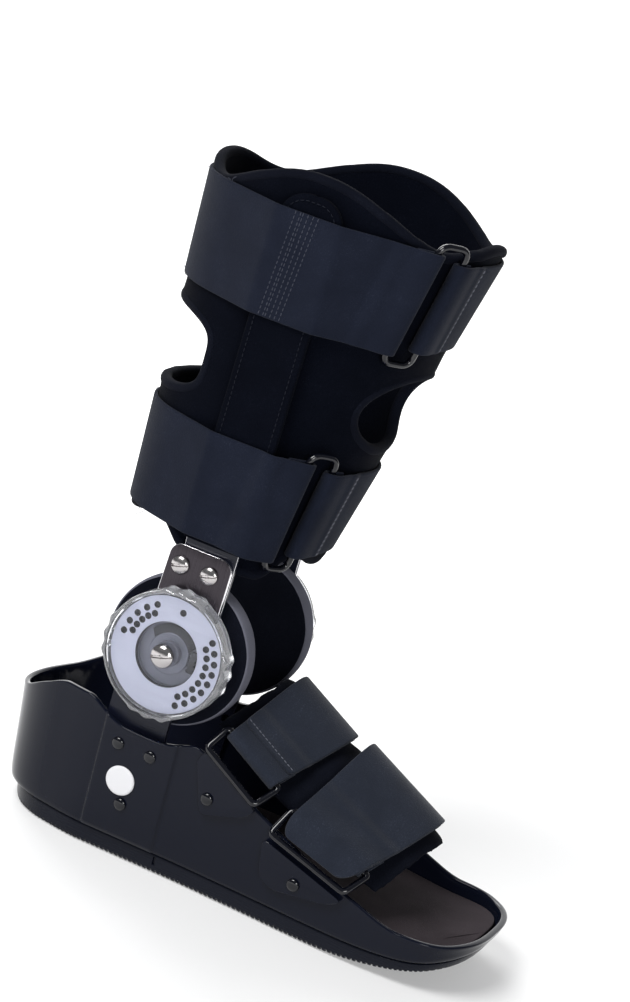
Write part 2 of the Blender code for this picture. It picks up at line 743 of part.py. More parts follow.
def make_hinges():
    """Everything that turns about the ankle axis or is stacked on it, for both sides."""
    axis = (along(AXIS_FORWARD), AXIS_HEIGHT)
    for name, side in SIDES:
        place = (0.0, *axis)
        pad = [
            (0.0, ANKLE_SPACE / 2 + PAD_THICKNESS),
            (PAD_RADIUS - PAD_EDGE, ANKLE_SPACE / 2 + PAD_THICKNESS),
            (PAD_RADIUS, ANKLE_SPACE / 2 + PAD_THICKNESS - PAD_EDGE),
            (PAD_RADIUS, ANKLE_SPACE / 2 + PAD_EDGE),
            (PAD_RADIUS - PAD_EDGE, ANKLE_SPACE / 2),
            (0.0, ANKLE_SPACE / 2),
        ]
        turned("ankle_pad_" + name, pad, side, "pad_foam", place, 28)
        housing = [
            (HOUSING_RADIUS, HOUSING_OUTER),
            (HOUSING_RADIUS, HOUSING_INNER),
            (SCREW_RADIUS + GAP, HOUSING_INNER),
            (SCREW_RADIUS + GAP, PROTRACTOR_OUTER),
            (2 * SCREW_RADIUS, PROTRACTOR_OUTER),
            (2 * SCREW_RADIUS, HOUSING_OUTER - RECESS_DEPTH),
            (RECESS_RADIUS, HOUSING_OUTER - RECESS_DEPTH),
            (RECESS_RADIUS, HOUSING_OUTER),
        ]
        turned("hinge_housing_" + name, housing, side, "dial_grey", place, 20)
        ring = [ring_outline(axis, HOUSING_RADIUS - 2 * GAP, 28), ring_outline(axis, RECESS_RADIUS + GAP, 20)]
        for radius, first, last, count in HOLE_ROWS:
            for turn in np.radians(np.linspace(first, last, count)):
                spot = (axis[0] - radius * math.cos(turn), axis[1] + radius * math.sin(turn))
                ring.append(ring_outline(spot, HOLE_RADIUS, 6))
        plate_object(
            "protractor_" + name, ring, PROTRACTOR_INNER, PROTRACTOR_THICKNESS, side, "dial_silver"
        )
        make_cover("dial_cover_" + name, side, axis)
        head, end = COVER_FRONT + GAP, ARM_INNER + GAP
        screw = [
            (0.0, head + SCREW_HEAD_HEIGHT),
            (0.5 * SCREW_HEAD_RADIUS, head + 0.85 * SCREW_HEAD_HEIGHT),
            (0.9 * SCREW_HEAD_RADIUS, head + 0.4 * SCREW_HEAD_HEIGHT),
            (SCREW_HEAD_RADIUS, head),
            (SCREW_RADIUS, head),
            (SCREW_RADIUS, end),
            (0.0, end),
        ]
        turned("pivot_screw_" + name, screw, side, "screw_chrome", place, 12)


def make_cover(name, side, axis):
    """The clear cap over a dial: a cup whose edge carries four groups of finger bumps."""
    turns = np.linspace(0, math.tau, COVER_POINTS, endpoint=False)
    grouped = np.cos(COVER_GROUPS * turns) > COVER_GROUP_EDGE
    bumps = COVER_BUMP * np.clip(np.cos(COVER_BUMPS * turns), 0, 1) * grouped
    back = HOUSING_INNER
    bore = SCREW_RADIUS + GAP
    profile = (
        (COVER_RADIUS, back, 1.0),
        (COVER_RADIUS, COVER_FRONT - 1.2 * COVER_WALL, 1.0),
        (COVER_RADIUS - COVER_WALL, COVER_FRONT, 0.0),
        (bore, COVER_FRONT, 0.0),
        (bore, COVER_FRONT - COVER_WALL, 0.0),
        (COVER_RADIUS - COVER_WALL, COVER_FRONT - COVER_WALL, 0.0),
        (COVER_RADIUS - COVER_WALL, back, 0.0),
    )
    rings = []
    for radius, outwards, share in profile:
        reach = radius + share * bumps
        across = np.full(COVER_POINTS, side * outwards)
        rings.append(np.c_[across, axis[0] + reach * np.cos(turns), axis[1] + reach * np.sin(turns)])
    rings = np.stack(rings + rings[:1])
    count = len(profile)
    wrap_back = lambda face: [corner % (count * COVER_POINTS) for corner in face]
    faces = [wrap_back(face) for face in grid_faces(count + 1, COVER_POINTS, closed=True)]
    obj = mesh_object(name, rings[:count].reshape(-1, 3), faces, "clear_cover")
    face_outwards(obj.data)


def leg_shape(height):
    """Centre, half length and half width of the wrap's outside at a height."""
    share = np.clip((height - LOWER_STRAP_HEIGHT) / (UPPER_STRAP_HEIGHT - LOWER_STRAP_HEIGHT), -0.25, 1.25)
    centre = LOWER_CENTRE + (UPPER_CENTRE - LOWER_CENTRE) * share
    length = (ANKLE_LENGTH + (CALF_LENGTH - ANKLE_LENGTH) * share) / 2
    narrow = ARM_INNER - BAR_CLEAR
    flare = np.clip((height - PLATE_TOP) / (UPPER_STRAP_HEIGHT - PLATE_TOP), 0, 1.25)
    return centre, length, narrow + (CALF_WIDTH / 2 - narrow) * flare


def wrap_section(height, turns):
    """X and Y of the wrap's outside at angles from the front, a rounded oval about the leg's centre."""
    centre, length, width = leg_shape(height)
    power = 2 / 2.25
    across = -width * np.sign(np.sin(turns)) * np.abs(np.sin(turns)) ** power
    ahead = length * np.sign(np.cos(turns)) * np.abs(np.cos(turns)) ** power
    return np.stack([across, along(centre + ahead)], axis=-1)


def bar_inner(height):
    """Distance from the middle of the boot to the inner face of an upright."""
    return leg_shape(height)[2] + BAR_CLEAR


def bar_lean(height):
    """How far forward of its lower end an upright is at a height."""
    return BAR_LEAN * np.clip(height - PLATE_TOP, 0, None)


def window(size, away):
    """Half height of a window in the wrap at angles away from its middle."""
    return size["half_height"] * (1 - np.clip(away / size["half_angle"], 0, 1) ** size["power"]) ** (1 / size["power"])


def make_wrap():
    """The padded calf wrap: two bands round the leg, joined at both sides between a front and a rear window."""
    count, rows = 40, 4
    turns = np.linspace(0, math.tau, count, endpoint=False)
    degrees = np.degrees(np.minimum(turns, math.tau - turns))
    top = WRAP_HEIGHT * smooth_curve(WRAP_TOP, degrees)
    bottom = WRAP_HEIGHT * smooth_curve(WRAP_BOTTOM, degrees)
    opening = window(FRONT_WINDOW, degrees) + window(REAR_WINDOW, 180 - degrees)
    middle = np.where(degrees < 90, FRONT_WINDOW["middle"], REAR_WINDOW["middle"])
    lower, upper = WRAP_HEIGHT * (middle - opening), WRAP_HEIGHT * (middle + opening)
    shares = np.linspace(0, 1, rows)[:, None]
    heights = np.concatenate([bottom + (lower - bottom) * shares, upper + (top - upper) * shares])
    points = np.concatenate([wrap_section(heights, turns), heights[..., None]], axis=-1)
    faces = np.array(grid_faces(rows, count, closed=True))
    faces = np.concatenate([faces, faces + rows * count])
    order = np.arange(2 * rows * count)
    shut = np.flatnonzero(opening < 1e-6)
    order[rows * count + shut] = (rows - 1) * count + shut
    used, faces = np.unique(order[faces], return_inverse=True)
    obj = mesh_object("calf_wrap", points.reshape(-1, 3)[used], faces.reshape(-1, 4), "wrap_fabric")
    obj.data.flip_normals()
    wall = obj.modifiers.new("wall", "SOLIDIFY")
    wall.thickness = WRAP_THICKNESS
    wall.offset = -1.0
    return obj


def make_uprights():
    """The steel plates, their screws, the flat uprights and the fabric pockets that hold the uprights."""
    made = []
    screws = [along(PLATE_SCREW_FORWARD + share * PLATE_SCREW_SPACING) for share in (-0.5, 0.5)]
    screw_holes = [
        ring_outline((place, PLATE_SCREW_HEIGHT), RIVET_SHANK + HOLE_CLEARANCE, 8) for place in screws
    ]
    axis = (along(AXIS_FORWARD), AXIS_HEIGHT)
    corners = []
    for forward, turn in ((PLATE_BACK + PLATE_CORNER, 0.0), (PLATE_FRONT - PLATE_CORNER, math.pi / 2)):
        corners.append(ring_outline((along(forward), PLATE_TOP - PLATE_CORNER), PLATE_CORNER, 5, turn, turn + math.pi / 2))
    round_foot = ring_outline(axis, PLATE_FOOT_RADIUS, 24)
    sides = [(along(place), AXIS_HEIGHT + PLATE_FOOT_RADIUS) for place in (PLATE_BACK, PLATE_FRONT)]
    plate = hull(np.concatenate(corners + [round_foot, np.array(sides)]))
    head = PLATE_OUTER + GAP
    screw_profile = [
        (0.0, head + PLATE_SCREW_DOME),
        (0.6 * PLATE_SCREW_RADIUS, head + 0.8 * PLATE_SCREW_DOME),
        (PLATE_SCREW_RADIUS, head + 0.25 * PLATE_SCREW_DOME),
        (PLATE_SCREW_RADIUS, head),
        (RIVET_SHANK, head),
        (RIVET_SHANK, ARM_INNER),
        (0.0, ARM_INNER),
    ]
    for name, side in SIDES:
        outlines = [plate, ring_outline(axis, SCREW_RADIUS + GAP, 12)] + screw_holes
        made.append(plate_object("upper_plate_" + name, outlines, PLATE_INNER, PLATE_THICKNESS, side, "plate_steel"))
        upright = make_upright(name, side)
        made.append(upright)
        for place, screw in zip(screws, ("rear", "front")):
            piece = f"plate_screw_{name}_{screw}"
            centre = (0.0, place, PLATE_SCREW_HEIGHT)
            made.append(turned(piece, screw_profile, side, "screw_chrome", centre, 10))
            cut_hole(upright, piece, (side * ARM_INNER, place, PLATE_SCREW_HEIGHT), 0.0)
        made.append(make_pocket(name, side))
    return made


def make_upright(name, side):
    """The flat upright behind the plate: straight at the hinge, then bent out and forward along the calf."""
    bottom = AXIS_HEIGHT + ARM_RADIUS + 4 * GAP
    rings = []
    for height, less in ((bottom, 0.0), (PLATE_TOP, 0.0), (BAR_TOP - BAR_CHAMFER, 0.0), (BAR_TOP, BAR_CHAMFER)):
        inner = bar_inner(height)
        back, front = along(BAR_BACK + less + bar_lean(height)), along(BAR_FRONT - less + bar_lean(height))
        outer = inner + BAR_THICKNESS
        rings.append([(side * x, y, height) for x, y in ((outer, back), (outer, front), (inner, front), (inner, back))])
    return tube_object("upright_" + name, rings, "plate_steel")


def make_pocket(name, side):
    """The fabric pocket over an upright: a flat channel, round at its top, with its edges turned in."""
    drops = ((POCKET_TOP - POCKET_BOTTOM, 0.0),) + POCKET_ROUND
    hem, fold = BAR_THICKNESS - GAP, POCKET_THICKNESS
    rings = []
    for drop, less in drops:
        height = POCKET_TOP - drop
        face = bar_inner(height) + BAR_THICKNESS + GAP
        outer = face + POCKET_THICKNESS
        back, front = along(POCKET_BACK + less + bar_lean(height)), along(POCKET_FRONT - less + bar_lean(height))
        section = [
            (outer - 0.4 * fold, back),
            (outer, back - 1.2 * fold),
            (outer, front + 1.2 * fold),
            (outer - 0.4 * fold, front),
            (face - hem, front),
            (face - hem, front + fold),
            (face, front + fold),
            (face, back - fold),
            (face - hem, back - fold),
            (face - hem, back),
        ]
        rings.append([(side * x, y, height) for x, y in section])
    return tube_object("upright_pocket_" + name, rings, "wrap_fabric")


def pocket_corners(height):
    """X and Y of the outer corners of both pockets at a height."""
    outside = bar_inner(height) + BAR_THICKNESS + GAP + POCKET_THICKNESS
    places = [along(place + bar_lean(height)) for place in (POCKET_BACK, POCKET_FRONT)]
    return np.array([(side * outside, place) for side in (-1, 1) for place in places])


def corner_turns(height):
    """Angles from the front, round the leg's centre, of the pockets' corners."""
    across, ahead = (pocket_corners(height) - (0.0, along(leg_shape(height)[0]))).T
    return np.arctan2(-across, -ahead) % math.tau


def strap_section(height):
    """The tight convex line round the wrap and the pockets at a height, as X and Y."""
    turns = np.linspace(0, math.tau, 72, endpoint=False)
    return hull(np.concatenate([wrap_section(height, turns), pocket_corners(height)]))


def section_points(height, turns):
    """Points of the strap line at angles from the front."""
    centre = np.array([0.0, along(leg_shape(height)[0])])
    line = strap_section(height) - centre
    step = np.roll(line, -1, axis=0) - line
    normal = np.c_[step[:, 1], -step[:, 0]]
    ray = np.c_[-np.sin(turns), -np.cos(turns)]
    facing = ray @ normal.T
    reach = (normal * line).sum(axis=1) / np.where(facing > 1e-9, facing, np.nan)
    return centre + ray * np.nanmin(reach, axis=1)[:, None]


def calf_path(level, height, ring_turn, far_turn, towards):
    """Where a strap or keeper runs at one level, from a fold on its ring bar round to its far end.

    height is the middle of the strap. towards is 1 for the strap, which leaves the ring at growing angles, and -1
    for the keeper. Each point is the strap line's point moved along the line and outwards."""
    radius = RING_WIRE + RING_CLEAR + STRAP_THICKNESS / 2
    low = GAP + STRAP_THICKNESS / 2
    layer = STRAP_THICKNESS + GAP
    mean = sum(leg_shape(height)[1:]) / 2
    bar_turn = ring_turn + towards * RING_WIDTH / 2 / mean
    fold = FOLD_LENGTH / mean
    run = np.linspace(bar_turn, far_turn, max(6, int(abs(far_turn - bar_turn) / RUN_STEP)))
    away = np.abs(run - bar_turn)
    for middle_turn, turn in zip(corner_turns(height), corner_turns(level)):
        if run.min() < middle_turn < run.max():
            run[np.abs(run - middle_turn).argmin()] = turn
    rise = low + 2 * radius + (layer - 2 * radius) * ease(away / fold)
    lift = np.where(away < fold, rise, low + layer * (1 - ease((away - fold) / (CALF_SETTLE * fold))))
    back = bar_turn + towards * fold * np.array(CALF_HEM)
    bend = np.radians(np.linspace(-90, 90, 7))[1:-1]
    turns = np.r_[back, np.full(5, bar_turn), run]
    out = np.r_[np.full(3, low), low + radius + radius * np.sin(bend), lift]
    shift = np.r_[np.zeros(3), -towards * radius * np.cos(bend), np.zeros(len(run))]
    points = section_points(level, turns)
    step = 0.01
    tangent = section_points(level, turns + step) - section_points(level, turns - step)
    tangent /= np.linalg.norm(tangent, axis=1)[:, None]
    normal = np.c_[-tangent[:, 1], tangent[:, 0]]
    centre = np.array([0.0, along(leg_shape(level)[0])])
    normal *= np.sign(((points - centre) * normal).sum(axis=1))[:, None]
    flat = points + tangent * shift[:, None] + normal * out[:, None]
    return np.c_[flat, np.full(len(flat), level)]


def ring_bar(height, width, ring_turn, towards):
    """Both ends of a ring's bar, on the axis of the fold of a strap or keeper of this width."""
    ends = []
    for level in (height - width / 2, height + width / 2):
        path = calf_path(level, height, ring_turn, ring_turn + towards * FOLD_PROBE, towards)
        ends.append((path[2] + path[8]) / 2)
    along_bar = (ends[1] - ends[0]) / width
    reach = (CALF_STRAP_WIDTH - width) / 2 + RING_OVERHANG
    return ends[0] - along_bar * reach, ends[1] + along_bar * reach


def ribbon_object(name, edges, thickness, finish):
    """A strap between edge lines, each a path in space; its thickness is square to its surface."""
    edges = np.asarray(edges, float)
    run = np.gradient(edges, axis=1)
    over = np.gradient(edges, axis=0)
    normal = np.cross(run, over)
    normal /= np.linalg.norm(normal, axis=2)[..., None]
    outer, inner = edges + normal * thickness / 2, edges - normal * thickness / 2
    rings = np.concatenate([outer, inner[::-1]]).transpose(1, 0, 2)
    return tube_object(name, rings, finish)


def calf_ribbon(name, height, width, ring_turn, far_turn, towards):
    """A strap or keeper of a width at a height, from its fold on the ring to its far end."""
    levels = (height - width / 2, height + width / 2)
    edges = [calf_path(level, height, ring_turn, far_turn, towards) for level in levels]
    return ribbon_object(name, edges, STRAP_THICKNESS, "strap_webbing")


def loop_object(name, bars, wire, finish):
    """A rounded rectangular wire loop through the ends of its two bars."""
    (start, end), (far_start, far_end) = bars
    points = rounded(np.array([start, end, far_end, far_start]), LOOP_CORNER, 3)
    curve = bpy.data.curves.new(name, "CURVE")
    curve.dimensions = "3D"
    curve.bevel_depth = wire
    curve.bevel_resolution = 1
    spline = curve.splines.new("POLY")
    spline.points.add(len(points) - 1)
    spline.points.foreach_set("co", np.c_[points, np.ones(len(points))].ravel())
    spline.use_cyclic_u = True
    return add_object(name, curve, finish)


def make_calf_straps():
    """Both calf straps, each with its rectangular ring and the short keeper that holds the ring's front bar."""
    made = []
    plans = (
        ("upper", UPPER_STRAP_HEIGHT, UPPER_RING_ANGLE),
        ("lower", LOWER_STRAP_HEIGHT, LOWER_RING_ANGLE),
    )
    end = math.radians(STRAP_END_ANGLE)
    keeper_end = end - math.tau + math.radians(1.0)
    for name, height, angle in plans:
        turn = math.radians(angle)
        made.append(calf_ribbon(name + "_calf_strap", height, CALF_STRAP_WIDTH, turn, end, 1))
        made.append(calf_ribbon(name + "_ring_keeper", height, KEEPER_WIDTH, turn, keeper_end, -1))
        bars = ring_bar(height, KEEPER_WIDTH, turn, -1), ring_bar(height, CALF_STRAP_WIDTH, turn, 1)
        made.append(loop_object(name + "_ring", bars, RING_WIRE, "loop_plastic"))
    return made


def arch_share(across):
    """How far down its side a strap is at a distance from the middle: 0 on the ridge, 1 at the loops."""
    reach = (np.sqrt(1 + (across / INSTEP_ROUND) ** 2)) - 1
    return reach / (math.sqrt(1 + (SIDE_REACH / INSTEP_ROUND) ** 2) - 1)


def strap_edge(kind, width, sign, across):
    """Points of one edge of a foot strap's lower face at distances across the boot."""
    share = arch_share(across)
    place = []
    for spot in ("top", "side"):
        forward, height, slope = STRAP_PLACES[kind][spot]
        reach = sign * width / 2 * (1.0 if spot == "top" else STRAP_SIDE_TAPER)
        slope = math.radians(slope)
        place.append(
            (forward * FOOT_LENGTH + reach * math.cos(slope), height * INSTEP_HEIGHT - reach * math.sin(slope))
        )
    (top_forward, top_height), (side_forward, side_height) = place
    forward = top_forward + share * (side_forward - top_forward)
    height = top_height + share * (side_height - top_height)
    return np.c_[across, along(forward), height]


def strap_frame(kind, width, across):
    """Both edges of a foot strap, and the directions along it and out of it, at distances across the boot."""
    edges = np.stack([strap_edge(kind, width, sign, across) for sign in (-1, 1)])
    step = 0.0005
    ahead = np.stack([strap_edge(kind, width, sign, across + step) for sign in (-1, 1)])
    behind = np.stack([strap_edge(kind, width, sign, across - step) for sign in (-1, 1)])
    run = ahead - behind
    run /= np.linalg.norm(run, axis=2)[..., None]
    over = edges[1] - edges[0]
    out = np.cross(over[None], run)
    out /= np.linalg.norm(out, axis=2)[..., None]
    out *= np.sign(out[..., 2])[..., None]
    return edges, run, out


def foot_strap(kind, width, free_end):
    """A foot strap: sewn round the outer loop, over the instep, through the inner loop and back over itself."""
    radius = LOOP_WIRE + GAP + STRAP_THICKNESS / 2
    layer = STRAP_THICKNESS + GAP
    bar = BAR_REACH
    over = np.linspace(-bar, bar, 15)
    outer_rise = 2 * radius + (layer - 2 * radius) * ease((over + bar) / FOLD_LENGTH)
    settled = layer * (1 - ease((over + bar - FOLD_LENGTH) / (FOOT_SETTLE * FOLD_LENGTH)))
    first = np.where(over + bar < FOLD_LENGTH, outer_rise, settled)
    back = np.linspace(bar, -min(free_end, bar), 15)
    if free_end > bar:
        back = np.r_[back, np.linspace(-bar - OVERHANG_START, -free_end, 3)]
    beneath = np.interp(back, over, first)
    inner_rise = (2 * radius - layer) * (1 - ease((bar - back) / (FOOT_RETURN * FOLD_LENGTH)))
    drop = OVERHANG_DROP * np.clip(-bar - OVERHANG_START - back, 0, None)
    second = beneath + layer + inner_rise - drop
    hem = -bar + FOLD_LENGTH * np.array(FOOT_HEM)
    bend = np.radians(np.linspace(-90, 90, 6))[1:-1]
    across = np.r_[hem, np.full(4, -bar), over, np.full(4, bar), back]
    shift = np.r_[np.zeros(3), -radius * np.cos(bend), np.zeros(15), radius * np.cos(bend), np.zeros(len(back))]
    out = np.r_[np.zeros(3), radius + radius * np.sin(bend), first, radius + radius * np.sin(bend), second]
    edges, run, normal = strap_frame(kind, width, across)
    points = edges + run * shift[None, :, None] + normal * out[None, :, None]
    return ribbon_object(kind + "_strap", points, STRAP_THICKNESS, "strap_webbing")


def make_foot_straps():
    """The instep and toe straps with their four loops."""
    radius = LOOP_WIRE + GAP + STRAP_THICKNESS / 2
    plans = (("instep", INSTEP_STRAP_WIDTH, INSTEP_FREE_END), ("toe", TOE_STRAP_WIDTH, TOE_FREE_END))
    for kind, width, free_end in plans:
        foot_strap(kind, width, free_end)
        for name, side in SIDES:
            edges, _, normal = strap_frame(kind, width, np.array([side * BAR_REACH]))
            lower, _, _ = strap_frame(kind, width, np.array([side * SIDE_REACH]))
            bars = []
            for start, end in ((edges[:, 0] + normal[:, 0] * radius), lower[:, 0]):
                reach = (end - start) * (LOOP_OVERHANG + LOOP_WIRE) / np.linalg.norm(end - start)
                bars.append((start - reach, end + reach))
            loop_object(f"{kind}_loop_{name}", bars, LOOP_WIRE, "loop_plastic")


def make_instep_pad():
    """The soft pad under both foot straps, bent over the instep."""
    across = np.linspace(-1, 1, 17) * SIDE_REACH * PAD_REACH
    share = arch_share(across)
    lines = []
    for (top_forward, top_height), (side_forward, side_height) in zip(PAD_RIDGE, PAD_SIDE):
        forward = FOOT_LENGTH * (top_forward + share * (side_forward - top_forward))
        height = INSTEP_HEIGHT * (top_height + share * (side_height - top_height))
        lines.append(np.c_[across, along(forward), height])
    lines = np.stack(lines)
    run, over = np.gradient(lines, axis=1), np.gradient(lines, axis=0)
    normal = np.cross(over, run)
    normal /= np.linalg.norm(normal, axis=2)[..., None]
    normal *= np.sign(normal[..., 2])[..., None]
    drop = STRAP_THICKNESS / 2 + GAP
    outer = lines - normal * drop
    inner = outer - normal * PAD_DEPTH
    rings = np.concatenate([outer, inner[::-1]]).transpose(1, 0, 2)
    return tube_object("instep_pad", rings, "pad_foam")


def hang_on_axis(pieces):
    """Parent the leg's pieces to an empty on the ankle axis."""
    axis = bpy.data.objects.new("ankle_axis", None)
    PARTS.objects.link(axis)
    axis.location = (0.0, along(AXIS_FORWARD), AXIS_HEIGHT)
    for piece in pieces:
        piece.parent = axis
        piece.matrix_parent_inverse = Matrix.Translation(axis.location).inverted()


def main():
    make_outsole()
    shell = make_shell()
    make_insole()
    make_lower_arms(shell)
    make_size_disc()
    make_tabs(shell)
    make_hinges()
    make_foot_straps()
    make_instep_pad()
    leg = make_uprights() + [make_wrap()] + make_calf_straps()
    hang_on_axis(leg)


main()
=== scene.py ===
# %% [markdown]
# A walking boot for an injured ankle: a moulded rocker shell, two steel uprights on dial hinges, and cloth
# straps. This lesson dresses the plain CAD model: each cell makes one piece or one finish at its real size,
# in metres. The CAD model is loaded first and stays the frame, so every new piece is worked out from the
# same sizes.

# %% Load the frame
import math

import bmesh
import bpy
import numpy as np
from mathutils import Matrix


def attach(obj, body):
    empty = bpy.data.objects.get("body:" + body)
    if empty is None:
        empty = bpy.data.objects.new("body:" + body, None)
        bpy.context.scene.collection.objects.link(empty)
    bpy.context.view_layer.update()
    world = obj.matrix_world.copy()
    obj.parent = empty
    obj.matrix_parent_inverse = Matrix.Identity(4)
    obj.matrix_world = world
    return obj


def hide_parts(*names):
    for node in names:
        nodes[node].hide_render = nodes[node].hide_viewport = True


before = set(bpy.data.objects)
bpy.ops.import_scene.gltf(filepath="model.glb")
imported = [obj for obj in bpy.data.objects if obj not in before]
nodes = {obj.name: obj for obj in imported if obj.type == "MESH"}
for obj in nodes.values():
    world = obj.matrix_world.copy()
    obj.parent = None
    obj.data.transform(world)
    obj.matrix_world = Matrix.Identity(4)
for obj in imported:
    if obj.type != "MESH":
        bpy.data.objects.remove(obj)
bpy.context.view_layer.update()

# %% [markdown]
# Sizes come next, because every later cell reads them. They are the sizes of the real boot, in metres. A
# place along the foot is measured forward from the heel, and along() turns it into Y: the toes point along
# -Y.

# %% Sizes of the boot
FOOT_LENGTH, AXIS_FORWARD, AXIS_HEIGHT, WRAP_HEIGHT, GAP = 0.254, 0.0803, 0.1056, 0.334, 0.0003
ANKLE_SPACE, PAD_THICKNESS, PAD_RADIUS, ARM_THICKNESS = 0.064, 0.011, 0.0355, 0.0025
PLATE_THICKNESS, HOUSING_THICKNESS, HOUSING_RADIUS = 0.0022, 0.0036, 0.0280
RECESS_RADIUS, RECESS_DEPTH, PROTRACTOR_THICKNESS = 0.0148, 0.0024, 0.0015
COVER_WALL, COVER_AIR, SCREW_RADIUS = 0.0014, 0.0030, 0.0030
ARM_INNER = ANKLE_SPACE / 2 + PAD_THICKNESS + GAP
ARM_OUTER = ARM_INNER + ARM_THICKNESS
PLATE_INNER = ARM_OUTER + GAP
PLATE_OUTER = PLATE_INNER + PLATE_THICKNESS
HOUSING_INNER = PLATE_OUTER + GAP
HOUSING_OUTER = HOUSING_INNER + HOUSING_THICKNESS
PROTRACTOR_INNER = HOUSING_OUTER + GAP
PROTRACTOR_OUTER = PROTRACTOR_INNER + PROTRACTOR_THICKNESS
COVER_FRONT = PROTRACTOR_OUTER + COVER_AIR + COVER_WALL
COVER_RADIUS = HOUSING_RADIUS + GAP + COVER_WALL
PLATE_TOP, BAR_LEAN, BAR_CLEAR, BAR_THICKNESS = 0.1550, 0.030, 0.0012, 0.0023
WALL, WALL_LEAN, SOLE_THICKNESS, FLOOR_THICKNESS, INSOLE_THICKNESS = 0.0030, 0.105, 0.0093, 0.0044, 0.0080
PANEL_HALF = ARM_OUTER + GAP + WALL
SHELL_BOTTOM = SOLE_THICKNESS + GAP
BASE_HALF = PANEL_HALF - WALL_LEAN * (0.0700 - SHELL_BOTTOM)
SIDES = (("lateral", -1), ("medial", 1))


def along(forward):
    """Y of a place that lies this far forward of the heel."""
    return FOOT_LENGTH / 2 - forward


print("hinge stack from", ARM_INNER, "to", round(COVER_FRONT, 4))

# %% [markdown]
# The photograph looks at the outer side of the boot, a little from the front and from above, with the
# camera rolled. A camera object is a place and three directions, so its matrix is filled with them: right,
# up and backwards. The roll is part of the view. No depth of field and no shift are used, so other views
# stay true.


# %% Camera
def new_object(name, data):
    """An object that holds a mesh, a curve, a lamp or a camera, put into the scene."""
    obj = bpy.data.objects.new(name, data)
    bpy.context.scene.collection.objects.link(obj)
    return obj


def placement(sideways, upwards, backwards, place):
    """The matrix of an object that stands at a place and points along three directions."""
    pose = np.eye(4)
    pose[:3] = np.c_[sideways, upwards, backwards, place]
    return Matrix(pose.tolist())


SENSOR_MM, PHOTO_HEIGHT_PX, AIM_HEIGHT = 36.0, 1002, 0.160
turn, lift, roll, distance = 0.3022896, 0.2353055, 0.3029841, 1.357566
focus_px, shift_right, shift_up = 2954.158, 0.0092017, -0.0284725
away = np.array([-math.cos(lift) * math.cos(turn), -math.cos(lift) * math.sin(turn), math.sin(lift)])
level = np.cross(-away, (0.0, 0.0, 1.0))
level /= np.linalg.norm(level)
above = np.cross(level, -away)
right = math.cos(roll) * level + math.sin(roll) * above
upward = -math.sin(roll) * level + math.cos(roll) * above
eye = np.array([0.0, 0.0, AIM_HEIGHT]) + away * distance - right * shift_right - upward * shift_up
camera = new_object("camera", bpy.data.cameras.new("camera"))
camera.data.sensor_fit = "VERTICAL"
camera.data.sensor_height = SENSOR_MM
camera.data.lens = focus_px * SENSOR_MM / PHOTO_HEIGHT_PX
camera.data.clip_start, camera.data.clip_end = 0.05, 20.0
camera.matrix_world = placement(right, upward, away, eye)
bpy.context.scene.camera = camera
print("lens", round(camera.data.lens, 2), "mm, eye at", np.round(eye, 3))

# %% [markdown]
# A black boot on white needs white paper behind it and a dark room in front: black gloss is only as dark
# as what it mirrors. The paper is one sheet that lies flat, curves up behind the boot and glows a little,
# as lit paper does. The key light hangs high on the camera's left, a smaller one stands low on its right and
# streaks the shell, and a fill behind the boot lifts its far edges.


# %% Paper and studio light
def area_light(name, place, target, size, power):
    """A square area light at a place, aimed at a target."""
    data = bpy.data.lights.new(name, "AREA")
    data.shape, data.size, data.energy = "SQUARE", size, power
    lamp = new_object(name, data)
    back = np.subtract(place, target) / np.linalg.norm(np.subtract(place, target))
    side = np.cross((0.0, 0.0, 1.0), back)
    side /= np.linalg.norm(side)
    lamp.matrix_world = placement(side, np.cross(back, side), back, place)


bpy.context.scene.view_settings.view_transform = "Standard"
world = bpy.data.worlds.new("studio")
world.use_nodes = True
room = world.node_tree.nodes["Background"].inputs
room["Color"].default_value = (0.95, 0.97, 1.0, 1.0)
room["Strength"].default_value = 0.20
bpy.context.scene.world = world
area_light("key", (-1.1, 0.6, 1.5), (0.0, 0.0, 0.12), 0.9, 33.0)
area_light("strip", (-1.3, -0.9, 0.5), (0.0, 0.0, 0.08), 0.5, 9.0)
area_light("rear_fill", (0.9, 0.9, 1.0), (0.0, 0.0, 0.15), 0.9, 14.0)
curve_turns = np.radians(np.linspace(0, 90, 16))
depth = np.r_[-3.0, -1.0, 0.0, 1.0, 1.8 + 0.8 * np.sin(curve_turns), 2.6]
rise = np.r_[0.0, 0.0, 0.0, 0.0, 0.8 * (1 - np.cos(curve_turns)), 3.4]
wide = np.linspace(-4.0, 4.0, 9)
deep = -away[:2] / np.hypot(*away[:2])
spread = depth[:, None, None] * deep + wide[None, :, None] * np.array([-deep[1], deep[0]])
paper_points = np.concatenate([spread, np.broadcast_to(rise[:, None, None], (*spread.shape[:2], 1))], axis=-1)
columns = len(wide)
row, column = np.mgrid[0 : len(depth) - 1, 0 : columns - 1]
first = (row * columns + column).ravel()
paper_faces = np.stack([first, first + columns, first + columns + 1, first + 1], axis=1)
paper_mesh = bpy.data.meshes.new("paper")
paper_mesh.from_pydata(paper_points.reshape(-1, 3).tolist(), [], paper_faces.tolist())
paper_mesh.shade_smooth()
paper = new_object("paper", paper_mesh)
white = bpy.data.materials.new("studio_paper")
white.use_nodes = True
glow = white.node_tree.nodes["Principled BSDF"]
glow.inputs["Base Color"].default_value = (0.62, 0.62, 0.62, 1.0)
glow.inputs["Roughness"].default_value = 0.9
glow.inputs["Emission Color"].default_value = (1.0, 1.0, 1.0, 1.0)
paper_mesh.materials.append(white)

# %% [markdown]
# Finishes are made of shader nodes. A material is a Principled shader with a few patterns plugged into its
# sockets, and a pattern that several materials share is a node group with named inputs and outputs, built
# once. The small builder below makes nodes and links them by name, so each finish reads as a short list.


